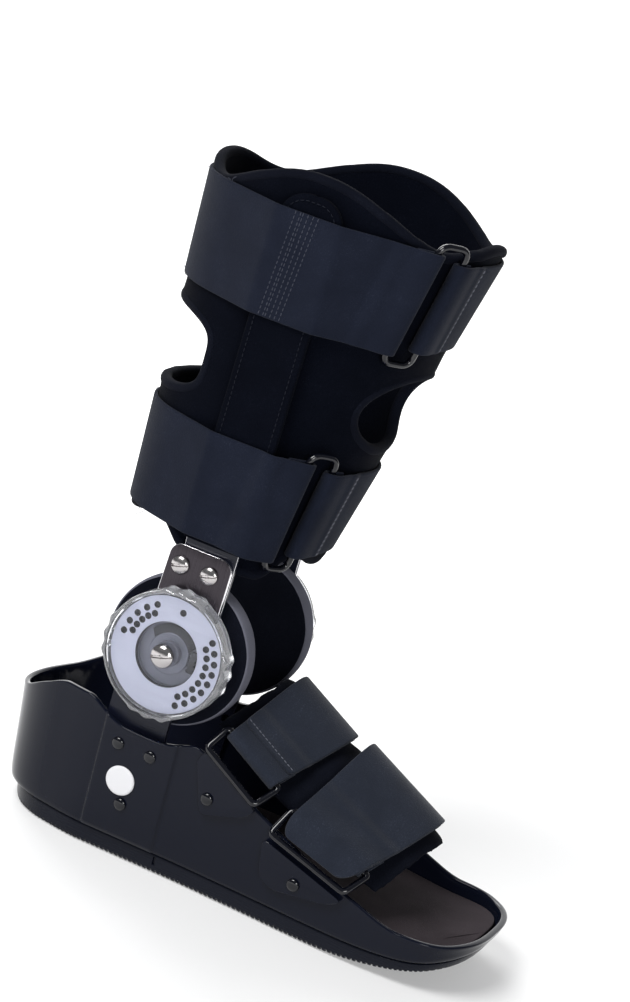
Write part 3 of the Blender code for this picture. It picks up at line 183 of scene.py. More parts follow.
# %% Node helpers
def add_node(tree, kind, inputs=None, **settings):
    """A shader node with its settings; an input is a number, a colour, or a socket to link from."""
    node = tree.nodes.new(kind)
    for key, value in settings.items():
        setattr(node, key, value)
    for key, value in (inputs or {}).items():
        if isinstance(value, bpy.types.NodeSocket):
            tree.links.new(value, node.inputs[key])
        else:
            node.inputs[key].default_value = value
    return node


def new_group(name, inputs, outputs):
    """A shader node group with float or colour sockets; returns the tree, its input and its output node."""
    tree = bpy.data.node_groups.new(name, "ShaderNodeTree")
    for label, kind, value in inputs:
        socket = tree.interface.new_socket(label, in_out="INPUT", socket_type=kind)
        if value is not None:
            socket.default_value = value
    for label, kind in outputs:
        tree.interface.new_socket(label, in_out="OUTPUT", socket_type=kind)
    return tree, tree.nodes.new("NodeGroupInput"), tree.nodes.new("NodeGroupOutput")


def new_material(name, colour, roughness, metallic=0.0, **sockets):
    """A material with its Principled shader; sockets holds further plain values by socket name."""
    made = bpy.data.materials.new(name)
    made.use_nodes = True
    shader = made.node_tree.nodes["Principled BSDF"]
    shader.inputs["Base Color"].default_value = (*colour, 1.0)
    shader.inputs["Roughness"].default_value = roughness
    shader.inputs["Metallic"].default_value = metallic
    for key, value in sockets.items():
        shader.inputs[key.replace("_", " ")].default_value = value
    return made, made.node_tree, shader


FLOAT = "NodeSocketFloat"

# %% [markdown]
# The paper is the first to use the builder. Its glow grows with the distance from the boot: close by it stays
# low, so that the boot's own shadow shows, and further out it is bright and even.

# %% Glow of the paper
NEAR_GLOW, FAR_GLOW = 0.30, 0.85
paper_tree = white.node_tree
paper_spot = add_node(paper_tree, "ShaderNodeTexCoord").outputs["Object"]
far_out = add_node(paper_tree, "ShaderNodeVectorMath", {0: paper_spot}, operation="LENGTH")
strength = add_node(
    paper_tree,
    "ShaderNodeMapRange",
    {
        "Value": far_out.outputs["Value"],
        "From Min": 0.15,
        "From Max": 0.70,
        "To Min": NEAR_GLOW,
        "To Max": FAR_GLOW,
    },
)
paper_tree.links.new(strength.outputs["Result"], glow.inputs["Emission Strength"])
print("paper glows from", NEAR_GLOW, "near the boot to", FAR_GLOW)

# %% [markdown]
# Loop cloth, the soft side of hook-and-loop webbing, is a pile of tiny hoops about half a millimetre apart.
# From a hand's distance it is a fine matt grain with lighter specks where hoops catch the light, and slow
# patches where the pile leans. One group gives all three: a height for the bump, a speck mask and a lean
# mask.

# %% Group: loop pile
pile, pile_in, pile_out = new_group(
    "loop_pile",
    [("Pitch per metre", FLOAT, 1800.0), ("Lean per metre", FLOAT, 60.0)],
    [("Height", FLOAT), ("Specks", FLOAT), ("Lean", FLOAT)],
)
spot = add_node(pile, "ShaderNodeTexCoord").outputs["Object"]
hoops = add_node(
    pile,
    "ShaderNodeTexVoronoi",
    {"Vector": spot, "Scale": pile_in.outputs["Pitch per metre"], "Randomness": 0.8},
    feature="SMOOTH_F1",
)
tangle = add_node(
    pile, "ShaderNodeTexNoise", {"Vector": spot, "Scale": pile_in.outputs["Pitch per metre"], "Detail": 3.0}
)
relief = {0: tangle.outputs["Fac"], 1: hoops.outputs["Distance"]}
height = add_node(pile, "ShaderNodeMath", relief, operation="SUBTRACT")
specks = add_node(
    pile, "ShaderNodeMapRange", {"Value": tangle.outputs["Fac"], "From Min": 0.56, "From Max": 0.72}
)
lean_scale = pile_in.outputs["Lean per metre"]
lean = add_node(pile, "ShaderNodeTexNoise", {"Vector": spot, "Scale": lean_scale, "Detail": 2.0})
lean_mask = add_node(
    pile, "ShaderNodeMapRange", {"Value": lean.outputs["Fac"], "From Min": 0.35, "From Max": 0.65}
)
pile.links.new(height.outputs[0], pile_out.inputs["Height"])
pile.links.new(specks.outputs["Result"], pile_out.inputs["Specks"])
pile.links.new(lean_mask.outputs["Result"], pile_out.inputs["Lean"])

# %% [markdown]
# Handled plastic and metal are never perfectly even: hairline scratches and a faint skin from the mould
# change how sharp a reflection looks. The group gives a small height and a roughness that wanders between
# two values.

# %% Group: handled surface
skin, skin_in, skin_out = new_group(
    "handled_surface",
    [("Grain per metre", FLOAT, 900.0), ("Smooth", FLOAT, 0.18), ("Dull", FLOAT, 0.32)],
    [("Height", FLOAT), ("Roughness", FLOAT)],
)
spot = add_node(skin, "ShaderNodeTexCoord").outputs["Object"]
grain = add_node(
    skin, "ShaderNodeTexNoise", {"Vector": spot, "Scale": skin_in.outputs["Grain per metre"], "Detail": 2.0}
)
stretched = add_node(
    skin, "ShaderNodeMapping", {"Vector": spot, "Scale": (1.0, 0.08, 1.0), "Rotation": (0.5, 0.2, 0.9)}
)
scratches = add_node(
    skin, "ShaderNodeTexNoise", {"Vector": stretched.outputs["Vector"], "Scale": 1400.0, "Detail": 1.0}
)
patches = add_node(skin, "ShaderNodeTexNoise", {"Vector": spot, "Scale": 45.0, "Detail": 3.0})
sum_of = {0: patches.outputs["Fac"], 1: scratches.outputs["Fac"]}
both = add_node(skin, "ShaderNodeMath", sum_of, operation="ADD")
worn = add_node(
    skin,
    "ShaderNodeMapRange",
    {
        "Value": both.outputs[0],
        "From Min": 0.75,
        "From Max": 1.3,
        "To Min": skin_in.outputs["Smooth"],
        "To Max": skin_in.outputs["Dull"],
    },
)
skin.links.new(grain.outputs["Fac"], skin_out.inputs["Height"])
skin.links.new(worn.outputs["Result"], skin_out.inputs["Roughness"])

# %% [markdown]
# Two families of finish cover most of the boot: cloth with a pile, and hard smooth surfaces. Each family is
# one function, so the cloths differ only by their colours and pitch, and the plastics and metals by their
# gloss.


# %% Cloth and hard finishes
def add_bump(tree, shader, height, strength, distance):
    """Relief on a shader from a height socket; its distance is in metres."""
    bump = add_node(tree, "ShaderNodeBump", {"Height": height, "Strength": strength, "Distance": distance})
    tree.links.new(bump.outputs["Normal"], shader.inputs["Normal"])


def add_mix(tree, factor, first, second):
    """The colour between two colours by a factor socket."""
    mix = add_node(tree, "ShaderNodeMix", {"Factor": factor}, data_type="RGBA")
    mix.inputs["A"].default_value, mix.inputs["B"].default_value = (*first, 1.0), (*second, 1.0)
    return mix


def cloth(name, colour, speck, pitch, relief, sheen):
    """Pile cloth: its colour, the catching hoops' colour, hoops per metre, relief in metres, sheen weight."""
    made, tree, shader = new_material(
        name, colour, 0.92, Sheen_Weight=sheen, Sheen_Roughness=0.5, Specular_IOR_Level=0.03
    )
    group = add_node(tree, "ShaderNodeGroup", node_tree=pile)
    group.inputs["Pitch per metre"].default_value = pitch
    hoops_mix = add_mix(tree, group.outputs["Specks"], colour, speck)
    darker = tuple(0.88 * part for part in colour)
    lean_mix = add_mix(tree, group.outputs["Lean"], darker, speck)
    tree.links.new(hoops_mix.outputs["Result"], lean_mix.inputs["B"])
    tree.links.new(lean_mix.outputs["Result"], shader.inputs["Base Color"])
    add_bump(tree, shader, group.outputs["Height"], 0.8, relief)
    return made


def hard(name, colour, smooth, dull, grain_pitch=900.0, relief=0.00001, metallic=0.0, specular=0.5):
    """Moulded plastic or metal whose roughness wanders from smooth to dull, with a fine skin."""
    made, tree, shader = new_material(name, colour, smooth, metallic, Specular_IOR_Level=specular)
    group = add_node(tree, "ShaderNodeGroup", node_tree=skin)
    group.inputs["Grain per metre"].default_value = grain_pitch
    group.inputs["Smooth"].default_value = smooth
    group.inputs["Dull"].default_value = dull
    tree.links.new(group.outputs["Roughness"], shader.inputs["Roughness"])
    add_bump(tree, shader, group.outputs["Height"], 0.5, relief)
    return made


webbing = cloth("webbing", (0.0078, 0.0100, 0.0185), (0.017, 0.020, 0.033), 1900.0, 0.00022, 0.045)
# The foot straps' webbing is the same loop tape as the calf straps' webbing, given a lighter colour: painted
# light, as the foot straps face up towards the key light.
top_lit_webbing = cloth("top_lit_webbing", (0.0165, 0.0200, 0.0300), (0.034, 0.040, 0.058), 1700.0, 0.00025, 0.09)
brushed_cloth = cloth("brushed_cloth", (0.0014, 0.0020, 0.0046), (0.005, 0.006, 0.011), 2100.0, 0.0002, 0.006)
velour = cloth("velour", (0.0040, 0.0048, 0.0085), (0.010, 0.012, 0.019), 2400.0, 0.00015, 0.01)
insole_cloth = cloth("insole_cloth", (0.0330, 0.0260, 0.0300), (0.055, 0.046, 0.052), 2200.0, 0.00012, 0.03)
grey_foam = cloth("grey_foam", (0.1150, 0.1170, 0.1450), (0.065, 0.068, 0.088), 2600.0, 0.00015, 0.0)
binding = cloth("binding_tape", (0.0034, 0.0042, 0.0080), (0.009, 0.011, 0.018), 2600.0, 0.00020, 0.01)
thread = hard("thread", (0.0320, 0.0360, 0.0520), 0.55, 0.70, 4000.0, 0.00004, specular=0.2)
dark_thread = hard("dark_thread", (0.0055, 0.0068, 0.0120), 0.55, 0.70, 4000.0, 0.00004, specular=0.1)
pale_thread = hard("pale_thread", (0.1000, 0.1050, 0.1300), 0.55, 0.70, 4000.0, 0.00004, specular=0.2)
shell_gloss = hard("shell_gloss", (0.0042, 0.0054, 0.0115), 0.07, 0.15, 260.0, 0.000006, specular=0.17)
sole_rubber = hard("sole_rubber", (0.0042, 0.0054, 0.0110), 0.22, 0.34, 700.0, 0.00002, specular=0.16)
loop_gloss = hard("loop_gloss", (0.0020, 0.0024, 0.0050), 0.06, 0.14, 900.0, 0.000006, specular=0.45)
arm_paint = hard("arm_paint", (0.0050, 0.0062, 0.0140), 0.26, 0.40, 1300.0, 0.00002, specular=0.25)
# Bright metal for edges: a painted highlight along them.
edge_highlight = hard("edge_highlight", (0.8000, 0.7900, 0.8200), 0.16, 0.30, 900.0, 0.000006, 1.0)
chrome = hard("chrome", (0.4600, 0.4400, 0.4400), 0.12, 0.26, 800.0, 0.000004, 1.0)
dial_silver = hard("dial_silver", (0.5000, 0.5150, 0.6150), 0.30, 0.50, 1500.0, 0.000010, 0.35)
dial_grey = hard("dial_grey", (0.1700, 0.1760, 0.2200), 0.34, 0.50, 1500.0, 0.00002, 0.25)
# The dark dial finish colours the sector and the toothed block, and also paints the shade in the pin holes.
dial_dark_and_hole_shade = hard("dial_dark_and_hole_shade", (0.0160, 0.0175, 0.0260), 0.30, 0.45, 1500.0, 0.00002)
disc_white = hard("disc_white", (0.6400, 0.6400, 0.6600), 0.34, 0.46, 1200.0, 0.00001)
print(len(bpy.data.materials), "finishes so far")

# %% [markdown]
# Plates are easiest as flat outlines, but everything else here is a surface over two parameters. The points
# are worked out as one array of rows and columns, and the faces follow from the counting, so no loop visits
# a point. The patterns of the finishes are read from each piece's own coordinates in metres, so they keep their
# real size.


# %% Surface helpers
def dress(obj, body, finishes, cad=()):
    """Give a piece its finishes and body, and hide the CAD nodes that it stands for."""
    for finish in finishes:
        obj.data.materials.append(finish)
    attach(obj, body)
    if cad:
        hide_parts(*cad)
    return obj


def shade(mesh, angle):
    """Smooth shading but for edges sharper than an angle in degrees."""
    mesh.shade_smooth()
    mesh.set_sharp_from_angle(angle=math.radians(angle))


def mesh_piece(name, points, faces, angle=40.0):
    """An object from an array of points and a list of faces, each a list of point numbers."""
    mesh = bpy.data.meshes.new(name)
    mesh.from_pydata(np.asarray(points, float).reshape(-1, 3).tolist(), [], faces)
    shade(mesh, angle)
    return new_object(name, mesh)


def read_vectors(items, field):
    """The vectors of a mesh's points or faces, one row each."""
    flat = np.empty(len(items) * 3)
    items.foreach_get(field, flat)
    return flat.reshape(-1, 3)


def weld(mesh, distance, thinnest=0.0):
    """Join points closer than a distance, drop faces thinner than a limit and turn the rest outwards."""
    work = bmesh.new()
    work.from_mesh(mesh)
    bmesh.ops.remove_doubles(work, verts=work.verts, dist=distance)
    if thinnest:
        bmesh.ops.dissolve_degenerate(work, edges=work.edges, dist=thinnest)
    bmesh.ops.recalc_face_normals(work, faces=work.faces)
    work.to_mesh(mesh)
    work.free()


def quads(rows, columns, around_rows=False, around=False):
    """Faces of a grid counted row by row; around joins the last column to the first, around_rows the rows."""
    row, column = np.mgrid[0 : rows if around_rows else rows - 1, 0 : columns if around else columns - 1]
    below, beside = (row + 1) % rows, (column + 1) % columns
    row, below = row * columns, below * columns
    corners = (row + column, row + beside, below + beside, below + column)
    return np.stack([corner.ravel() for corner in corners], axis=1)


def faces_outwards(points, faces):
    """The faces, turned over if the volume that they enclose counts as negative."""
    flat = np.asarray(points).reshape(-1, 3)
    a, b, c, d = (flat[faces[:, i]] for i in range(4))
    volume = (a * (np.cross(b, c) + np.cross(c, d))).sum()
    return faces if volume > 0 else faces[:, ::-1]


def sweep_piece(name, rings, closed=False, angle=40.0):
    """A solid through closed rings: points[station, place round the ring].

    Closed joins the last ring to the first. Open ends are closed by a fan to the ring's middle."""
    rings = np.asarray(rings, float)
    count, size = rings.shape[:2]
    points, faces = rings.reshape(-1, 3), quads(count, size, around_rows=closed, around=True)
    if not closed:
        points = np.concatenate([points, rings[[0, -1]].mean(axis=1)])
        first, beside = np.arange(size), (np.arange(size) + 1) % size
        start, end = np.full(size, count * size), np.full(size, count * size + 1)
        last = (count - 1) * size
        near_fan = np.stack([beside, first, start, start], axis=1)
        far_fan = np.stack([last + first, last + beside, end, end], axis=1)
        faces = np.concatenate([faces, near_fan, far_fan])
    faces = faces_outwards(points, faces)
    # fans repeat their middle point: the repeat is dropped to leave triangles
    return mesh_piece(name, points, [list(dict.fromkeys(face)) for face in faces.tolist()], angle)


def smooth_curve(rows, places):
    """Values at the places of a smooth curve through rows of (place, value) that never overshoots a row."""
    at, values = np.array(rows, float).T
    spans = np.diff(at)
    slopes = np.diff(values) / spans
    tangents = np.zeros_like(values)
    rising = slopes[:-1] * slopes[1:] > 0
    before, after = slopes[:-1][rising], slopes[1:][rising]
    tangents[1:-1][rising] = 2 * before * after / (before + after)
    places = np.clip(places, at[0], at[-1])
    left = np.clip(np.searchsorted(at, places, side="right") - 1, 0, len(spans) - 1)
    t, span = (places - at[left]) / spans[left], spans[left]
    start = (1 + 2 * t) * (1 - t) ** 2 * values[left] + t * (1 - t) ** 2 * span * tangents[left]
    return start + t**2 * (3 - 2 * t) * values[left + 1] + t**2 * (t - 1) * span * tangents[left + 1]


def ease(t):
    """A smooth step from 0 to 1."""
    t = np.clip(t, 0.0, 1.0)
    return t * t * (3 - 2 * t)


def soften(rows, rounds=2):
    """Corner cutting: each corner of a profile is replaced by points a quarter along both its sides."""
    rows = np.asarray(rows, float)
    for _ in range(rounds):
        near, far = 0.75 * rows[:-1] + 0.25 * rows[1:], 0.25 * rows[:-1] + 0.75 * rows[1:]
        cut = np.stack([near, far], axis=1).reshape(-1, *rows.shape[1:])
        rows = np.concatenate([rows[:1], cut, rows[-1:]])
    return rows


# %% [markdown]
# The moulded shell sets the style of the boot: a heel cup that runs forward into low walls and a squarish
# toe. Its plan outline is a table of half widths with a superellipse at each end, and its top edge a table
# of heights. Profiles across the wall are carried along that outline, their corners cut round, and the half
# is mirrored.

# %% Shape of the foot
PLAN = (
    (0.000, 0.930), (0.140, 0.930), (0.232, 1.000), (0.392, 1.000), (0.550, 1.035), (0.700, 1.090),
    (0.810, 1.115), (0.920, 1.110), (1.000, 1.060),
)
RIM = (
    (0.000, 0.750), (0.045, 0.790), (0.100, 0.915), (0.150, 1.000), (0.195, 1.000), (0.236, 0.930),
    (0.280, 0.885), (0.340, 0.880), (0.385, 0.915), (0.415, 0.950), (0.445, 0.915), (0.500, 0.810),
    (0.570, 0.700), (0.670, 0.560), (0.780, 0.425), (0.870, 0.345), (0.940, 0.345), (1.000, 0.360),
)
HEEL_SET, TOE_SET, HEEL_ROUND, TOE_ROUND = 0.0053, 0.0012, 0.042, 0.034
ROCKER_START, ROCKER_RADIUS, HEEL_ROCKER_START, HEEL_ROCKER_RADIUS = 0.178, 0.180, 0.024, 0.040
TOE_THICKNESS, RIM_HEIGHT, RIM_FLARE = 0.0090, 0.0726, 0.0006
PANEL_BACK, PANEL_FRONT, PANEL_PROUD, PANEL_STEP = 0.0598, 0.0972, 0.0012, 0.0006
HEEL_POWER, TOE_POWER = 2.1, 2.7


def shell_half_width(forward):
    """Half width of the shell at its lower edge: the table's width, rounded off at heel and toe."""
    start, end = HEEL_SET, FOOT_LENGTH - TOE_SET
    width = BASE_HALF * smooth_curve(PLAN, forward / FOOT_LENGTH)
    heel = np.clip((start + HEEL_ROUND - forward) / HEEL_ROUND, 0, 1)
    toe = np.clip((forward - end + TOE_ROUND) / TOE_ROUND, 0, 1)
    return width * (1 - heel**HEEL_POWER) ** (1 / HEEL_POWER) * (1 - toe**TOE_POWER) ** (1 / TOE_POWER)


def stations(count):
    """Distances forward of the heel, closer together at both ends, with the edges of the side panel."""
    turns = (1 - np.cos(np.linspace(0, math.pi, count))) / 2
    spread = HEEL_SET + (FOOT_LENGTH - TOE_SET - HEEL_SET) * turns
    near = np.linspace(-PANEL_STEP, PANEL_STEP, 4)
    edges = np.concatenate([PANEL_BACK + near, PANEL_FRONT + near])
    far = np.abs(spread[:, None] - edges).min(axis=1) > PANEL_STEP
    return np.sort(np.r_[spread[far], edges])


def outline_frame(forward):
    """Half widths at the stations and the outward direction there, as (across, forward)."""
    width = shell_half_width(forward)
    across, ahead = np.gradient(forward), -np.gradient(width)
    across[[0, -1]], ahead[[0, -1]] = 0.0, (-1.0, 1.0)
    size = np.hypot(across, ahead)
    return width, across / size, ahead / size


def sole_bottom(forward):
    """Height of the tread's underside: flat, with one circular rocker at the toe and one at the heel."""
    toe, heel = np.clip(forward - ROCKER_START, 0, None), np.clip(HEEL_ROCKER_START - forward, 0, None)
    rise = ROCKER_RADIUS - np.sqrt(ROCKER_RADIUS**2 - toe**2)
    return rise + HEEL_ROCKER_RADIUS - np.sqrt(HEEL_ROCKER_RADIUS**2 - heel**2)


def layer_heights(forward):
    """Tops of the sole, of the shell's floor and of the insole, which thin together towards the toe."""
    full = SOLE_THICKNESS + FLOOR_THICKNESS + INSOLE_THICKNESS + 2 * GAP
    toe = ease((forward - ROCKER_START) / (FOOT_LENGTH - ROCKER_START))
    bottom = sole_bottom(np.clip(forward, HEEL_ROCKER_START, None))
    total = full + (TOE_THICKNESS - full) * toe
    floor = bottom + total * (SOLE_THICKNESS + FLOOR_THICKNESS + GAP) / full
    return bottom + total * SOLE_THICKNESS / full, floor, bottom + total


def wall_outside(forward, height):
    """Distance from the middle of the boot to the outside of the shell's wall."""
    return shell_half_width(np.atleast_1d(forward)) + WALL_LEAN * (height - SHELL_BOTTOM)


def profile_row(frame_at, forward, offset, height):
    """The plan outline moved outwards by offset, at height(forward) or at given heights."""
    width, across, ahead = frame_at
    reach = forward + ahead * offset
    up = height(reach) if callable(height) else height
    return np.c_[np.clip(width + across * offset, 0, None), along(reach), up]


def middle_row(frame_at, forward, offset, height):
    """The row on the middle plane that closes a floor."""
    reach = forward + frame_at[2] * offset
    reach[1:-1] = np.clip(forward[1:-1], reach[0], reach[-1])
    return np.c_[np.zeros_like(reach), along(reach), height(reach)]


def mirrored_piece(name, rows, angle=40.0):
    """A closed piece from the rows of its half at +X: mirrored, welded in the middle and turned outwards."""
    half = np.asarray(rows, float)
    half[[0, -1], :, 0] = 0.0
    half[:, [0, -1], 0] = 0.0
    faces = quads(*half.shape[:2])
    flat = half.reshape(-1, 3)
    points = np.concatenate([flat, flat * (-1, 1, 1)])
    obj = mesh_piece(name, points, np.concatenate([faces, faces[:, ::-1] + len(flat)]).tolist(), angle)
    weld(obj.data, 0.00001, 0.000005)
    shade(obj.data, angle)
    return obj


# %% Moulded shell
forward = stations(190)
edge = outline_frame(forward)
under = lambda at: layer_heights(at)[0] + GAP
floor_top = lambda at: layer_heights(at)[1]
rim = RIM_HEIGHT * smooth_curve(RIM, forward / FOOT_LENGTH)
low, deep = under(forward), rim - floor_top(forward)
tall, corner = rim - low, 0.25 * WALL
past_back, before_front = (forward - PANEL_BACK) / 0.0008, (PANEL_FRONT - forward) / 0.0008
proud = PANEL_PROUD * ease(past_back + 0.5) * ease(before_front + 0.5)
lip = WALL_LEAN * tall
shell_rows = [
    middle_row(edge, forward, -2 * corner, under),
    profile_row(edge, forward, -2 * corner, under),
    profile_row(edge, forward, proud, low + np.minimum(2 * corner, 0.25 * tall)),
    profile_row(edge, forward, WALL_LEAN * 0.5 * tall + proud, low + 0.5 * tall),
    profile_row(edge, forward, lip + proud, rim - np.minimum(WALL, 0.3 * tall)),
    profile_row(edge, forward, lip + RIM_FLARE + proud, rim - corner),
    profile_row(edge, forward, lip + RIM_FLARE - corner + proud, rim),
    profile_row(edge, forward, lip + corner - WALL, rim),
    profile_row(edge, forward, lip - WALL, rim - np.minimum(WALL, 0.25 * deep)),
    profile_row(edge, forward, WALL_LEAN * 0.2 * tall - WALL, rim - 0.85 * deep),
    profile_row(edge, forward, -WALL - 2 * corner, floor_top),
    middle_row(edge, forward, -WALL - 2 * corner, floor_top),
]
shell = mirrored_piece("moulded_shell", soften(shell_rows), 60.0)
dress(shell, "foot", [shell_gloss], ["foot_shell"])
print("shell", len(shell.data.polygons), "faces, rim", round(float(rim.max()), 4))

# %% [markdown]
# Under the shell sits the sole unit, a firmer strip with a step all round and fine ribs across its tread.
# The ribs are two and a half millimetres apart. They are worked into the surface, because they notch its
# lower edge, and that toothed line is what the eye catches in the photograph.

# %% Ribbed sole unit
RIB_PITCH, RIB_DEPTH, SOLE_INSET, SOLE_TAPER = 0.0025, 0.0012, 0.0022, 0.0030
FIRST_RIB, LAST_RIB, RIB_FLANK, RIB_SHARE = 0.012, 0.246, 0.16, 0.54
HEEL_INSET, HEEL_INSET_END = 0.0028, 0.0400
SLIT_DEPTH, SLIT_PLACE, SLIT_HALF = 0.0011, 0.0990, 0.0006
heel_end = (1 - np.cos(np.linspace(0, math.pi, 60)[1:5])) / 2
spread = np.sort(np.r_[0, heel_end, np.linspace(0.012, 0.988, 820), 0.994, 0.9985, 1])
forward = HEEL_SET + (FOOT_LENGTH - TOE_SET - HEEL_SET) * spread
edge = outline_frame(forward)
wave = (forward / RIB_PITCH) % 1.0
ribbed = (forward > FIRST_RIB) & (forward < LAST_RIB)
groove = ease(wave / RIB_FLANK) * ease((RIB_SHARE - wave) / RIB_FLANK) * ribbed
top_in = -SOLE_INSET - HEEL_INSET * ease(1 - forward / HEEL_INSET_END)
tread_in = top_in - SOLE_TAPER
slit = SLIT_DEPTH * (np.abs(forward - SLIT_PLACE) < SLIT_HALF)


def sole_level(share, notch=0.0):
    """Heights this share of the way up the sole, raised by the notch where a groove crosses."""
    return lambda at: sole_bottom(at) + share * (layer_heights(at)[0] - sole_bottom(at)) + notch


sole_rows = [
    middle_row(edge, forward, tread_in, sole_level(0.0, groove * RIB_DEPTH)),
    profile_row(edge, forward, tread_in, sole_level(0.0, groove * RIB_DEPTH)),
    profile_row(
        edge, forward, tread_in + 0.62 * SOLE_TAPER - groove * 0.0007, sole_level(0.12, groove * 0.0003)
    ),
    profile_row(edge, forward, tread_in + 0.75 * SOLE_TAPER, sole_level(0.24)),
    profile_row(edge, forward, tread_in + 0.85 * SOLE_TAPER, sole_level(0.45)),
    profile_row(edge, forward, tread_in + 0.88 * SOLE_TAPER - slit, sole_level(0.50)),
    profile_row(edge, forward, top_in - slit, sole_level(0.88)),
    profile_row(edge, forward, top_in, sole_level(0.92)),
    profile_row(edge, forward, top_in - 0.1 * SOLE_TAPER, sole_level(1.0)),
    middle_row(edge, forward, top_in - 0.1 * SOLE_TAPER, sole_level(1.0)),
]
sole = mirrored_piece("ribbed_sole", sole_rows, 30.0)
dress(sole, "foot", [sole_rubber], ["outsole"])
print("sole", len(sole.data.polygons), "faces,", round(FOOT_LENGTH / RIB_PITCH), "ribs")

# %% [markdown]
# The insole is foam with a brushed cloth skin. It fills the floor between the walls, and its edge is soft.
# It dishes a little under the heel and under the ball: the middle of its top is lowered by two smooth bowls.

# %% Insole
forward = stations(120)
edge = outline_frame(forward)
rim_in, bevel = -WALL - 4 * GAP, 0.6 * WALL


def insole_level(share, dish=0.0):
    """Heights this share of the way up the insole, less the dish."""

    def height(at):
        _, low, high = layer_heights(at)
        return low + GAP + share * (high - low - GAP) - dish

    return height


def dip(depth, place):
    """A smooth hollow of a depth at a place along the foot, about sixty millimetres long."""
    return depth * np.exp(-(((forward - place) / 0.030) ** 2))


bowl = dip(0.0012, 0.045) + dip(0.0006, 0.185)
insole_rows = [
    middle_row(edge, forward, rim_in - bevel, insole_level(0.0)),
    profile_row(edge, forward, rim_in - bevel, insole_level(0.0)),
    profile_row(edge, forward, rim_in, insole_level(0.35)),
    profile_row(edge, forward, rim_in, insole_level(0.85)),
    profile_row(edge, forward, rim_in - 0.3 * bevel, insole_level(1.0)),
    profile_row(edge, forward, rim_in - 3 * bevel, insole_level(1.0, 0.3 * bowl)),
    profile_row(edge, forward, rim_in - 7 * bevel, insole_level(1.0, 0.9 * bowl)),
    middle_row(edge, forward, rim_in - 0.3 * bevel, insole_level(1.0, bowl)),
]
insole = mirrored_piece("cloth_insole", soften(insole_rows), 60.0)
dress(insole, "foot", [insole_cloth], ["insole"])

# %% [markdown]
# Rivets, screws and the size disc are turned shapes: a profile of radius and height spun about an axis. The
# axis points outwards across the boot, tilted with the leaning wall where a rivet sits on it. The disc is a
# plain white button.


# %% Turned pieces
def turned_points(profile, place, side, tilt=0.0, segments=40):
    """Points [profile row, turn] of a profile (radius, distance outwards) spun about an axis at a place."""
    profile = np.asarray(profile, float)
    turns = np.linspace(0, math.tau, segments, endpoint=False)
    radius, out = profile[:, 0, None], profile[:, 1, None]
    local = np.stack(np.broadcast_arrays(out, radius * np.cos(turns), radius * np.sin(turns)), axis=-1)
    outward, upward = local[..., 0], local[..., 2]
    across = outward * math.cos(tilt) + upward * math.sin(tilt)
    up = upward * math.cos(tilt) - outward * math.sin(tilt)
    return np.stack([side * across, local[..., 1], up], axis=-1) + np.asarray(place, float)


def turned_piece(name, profile, place, side, tilt=0.0, segments=40, angle=40.0):
    """A closed turned piece; its profile starts and ends on the axis or close to it."""
    return sweep_piece(name, turned_points(profile, place, side, tilt, segments), angle=angle)


def dome(radius, height, edge_height, shank, depth):
    """Profile of a domed head over a shank: a circular cap that meets a short upright edge."""
    turns = np.linspace(0.04, 1.0, 10) * math.pi / 2
    cap = np.c_[radius * np.sin(turns), edge_height + (height - edge_height) * np.cos(turns)]
    return np.r_[cap, [(radius, 0.0), (shank, 0.0), (shank, -depth)]]


RIVET_RADIUS, RIVET_SHANK, RIVET_DOME, TAB_THICKNESS = 0.0030, 0.0015, 0.0016, 0.0018
TAB_LIFT = RIM_FLARE + 2 * GAP
LEAN_ANGLE = math.atan(WALL_LEAN)
ON_PANEL, ON_TAB = PANEL_PROUD + GAP, TAB_LIFT + TAB_THICKNESS + GAP
# name, place along the foot and height as shares, distance out from the wall
RIVETS = (
    ("panel_rivet_{}_1", 0.2708, 0.768, ON_PANEL),
    ("panel_rivet_{}_2", 0.3364, 0.764, ON_PANEL),
    ("panel_rivet_{}_3", 0.3033, 0.379, ON_PANEL),
    ("instep_tab_rivet_{}", 0.4640, 0.665, ON_TAB),
    ("toe_tab_rivet_{}", 0.6650, 0.375, ON_TAB),
)
for label, ahead, up, stand in RIVETS:
    place_y, place_z = along(ahead * FOOT_LENGTH), up * RIM_HEIGHT
    seat = wall_outside(ahead * FOOT_LENGTH, place_z)[0] + stand
    profile = dome(RIVET_RADIUS, RIVET_DOME, 0.0003, RIVET_SHANK, stand + WALL)
    for side_name, side in SIDES:
        node = label.format(side_name)
        rivet = turned_piece("dome_" + node, profile, (side * seat, place_y, place_z), side, LEAN_ANGLE)
        dress(rivet, "foot", [loop_gloss], [node])
DISC_FORWARD, DISC_HEIGHT, DISC_RADIUS, DISC_THICKNESS = 0.0743, 0.0387, 0.0072, 0.0008
seat = wall_outside(DISC_FORWARD, DISC_HEIGHT)[0] + ON_PANEL
button = [
    (0.0001, DISC_THICKNESS),
    (0.0058, DISC_THICKNESS),
    (0.0064, 0.00078),
    (0.0070, 0.0006),
    (DISC_RADIUS, 0.0003),
    (DISC_RADIUS, 0.0),
    (0.0001, 0.0),
]
disc = turned_piece("white_disc", button, (-seat, along(DISC_FORWARD), DISC_HEIGHT), -1, LEAN_ANGLE, 64)
dress(disc, "foot", [disc_white], ["size_disc"])
print(2 * len(RIVETS), "rivets and a disc")

# %% [markdown]
# Flat parts such as tabs, steel plates and the dial's protractor are 2D curves: the first outline is the
# edge, the others are holes, and a small bevel rounds every edge. The finished mesh is stood up in the Y-Z
# plane and moved out to its place in the stack. Faces that don't look straight out are the bevel, so they
# can have a second finish: on the steel plates a bright metal that is a painted highlight along the edge,
# on the protractor a dark one that is painted shade in its pin holes.


# %% Plates and wires
def circle(centre, radius, segments, start=0.0, end=math.tau):
    """Points of an arc, or of a whole circle, in Y and Z."""
    turns = np.linspace(start, end, segments, endpoint=abs(end - start) < math.tau)
    return np.c_[centre[0] + radius * np.cos(turns), centre[1] + radius * np.sin(turns)]


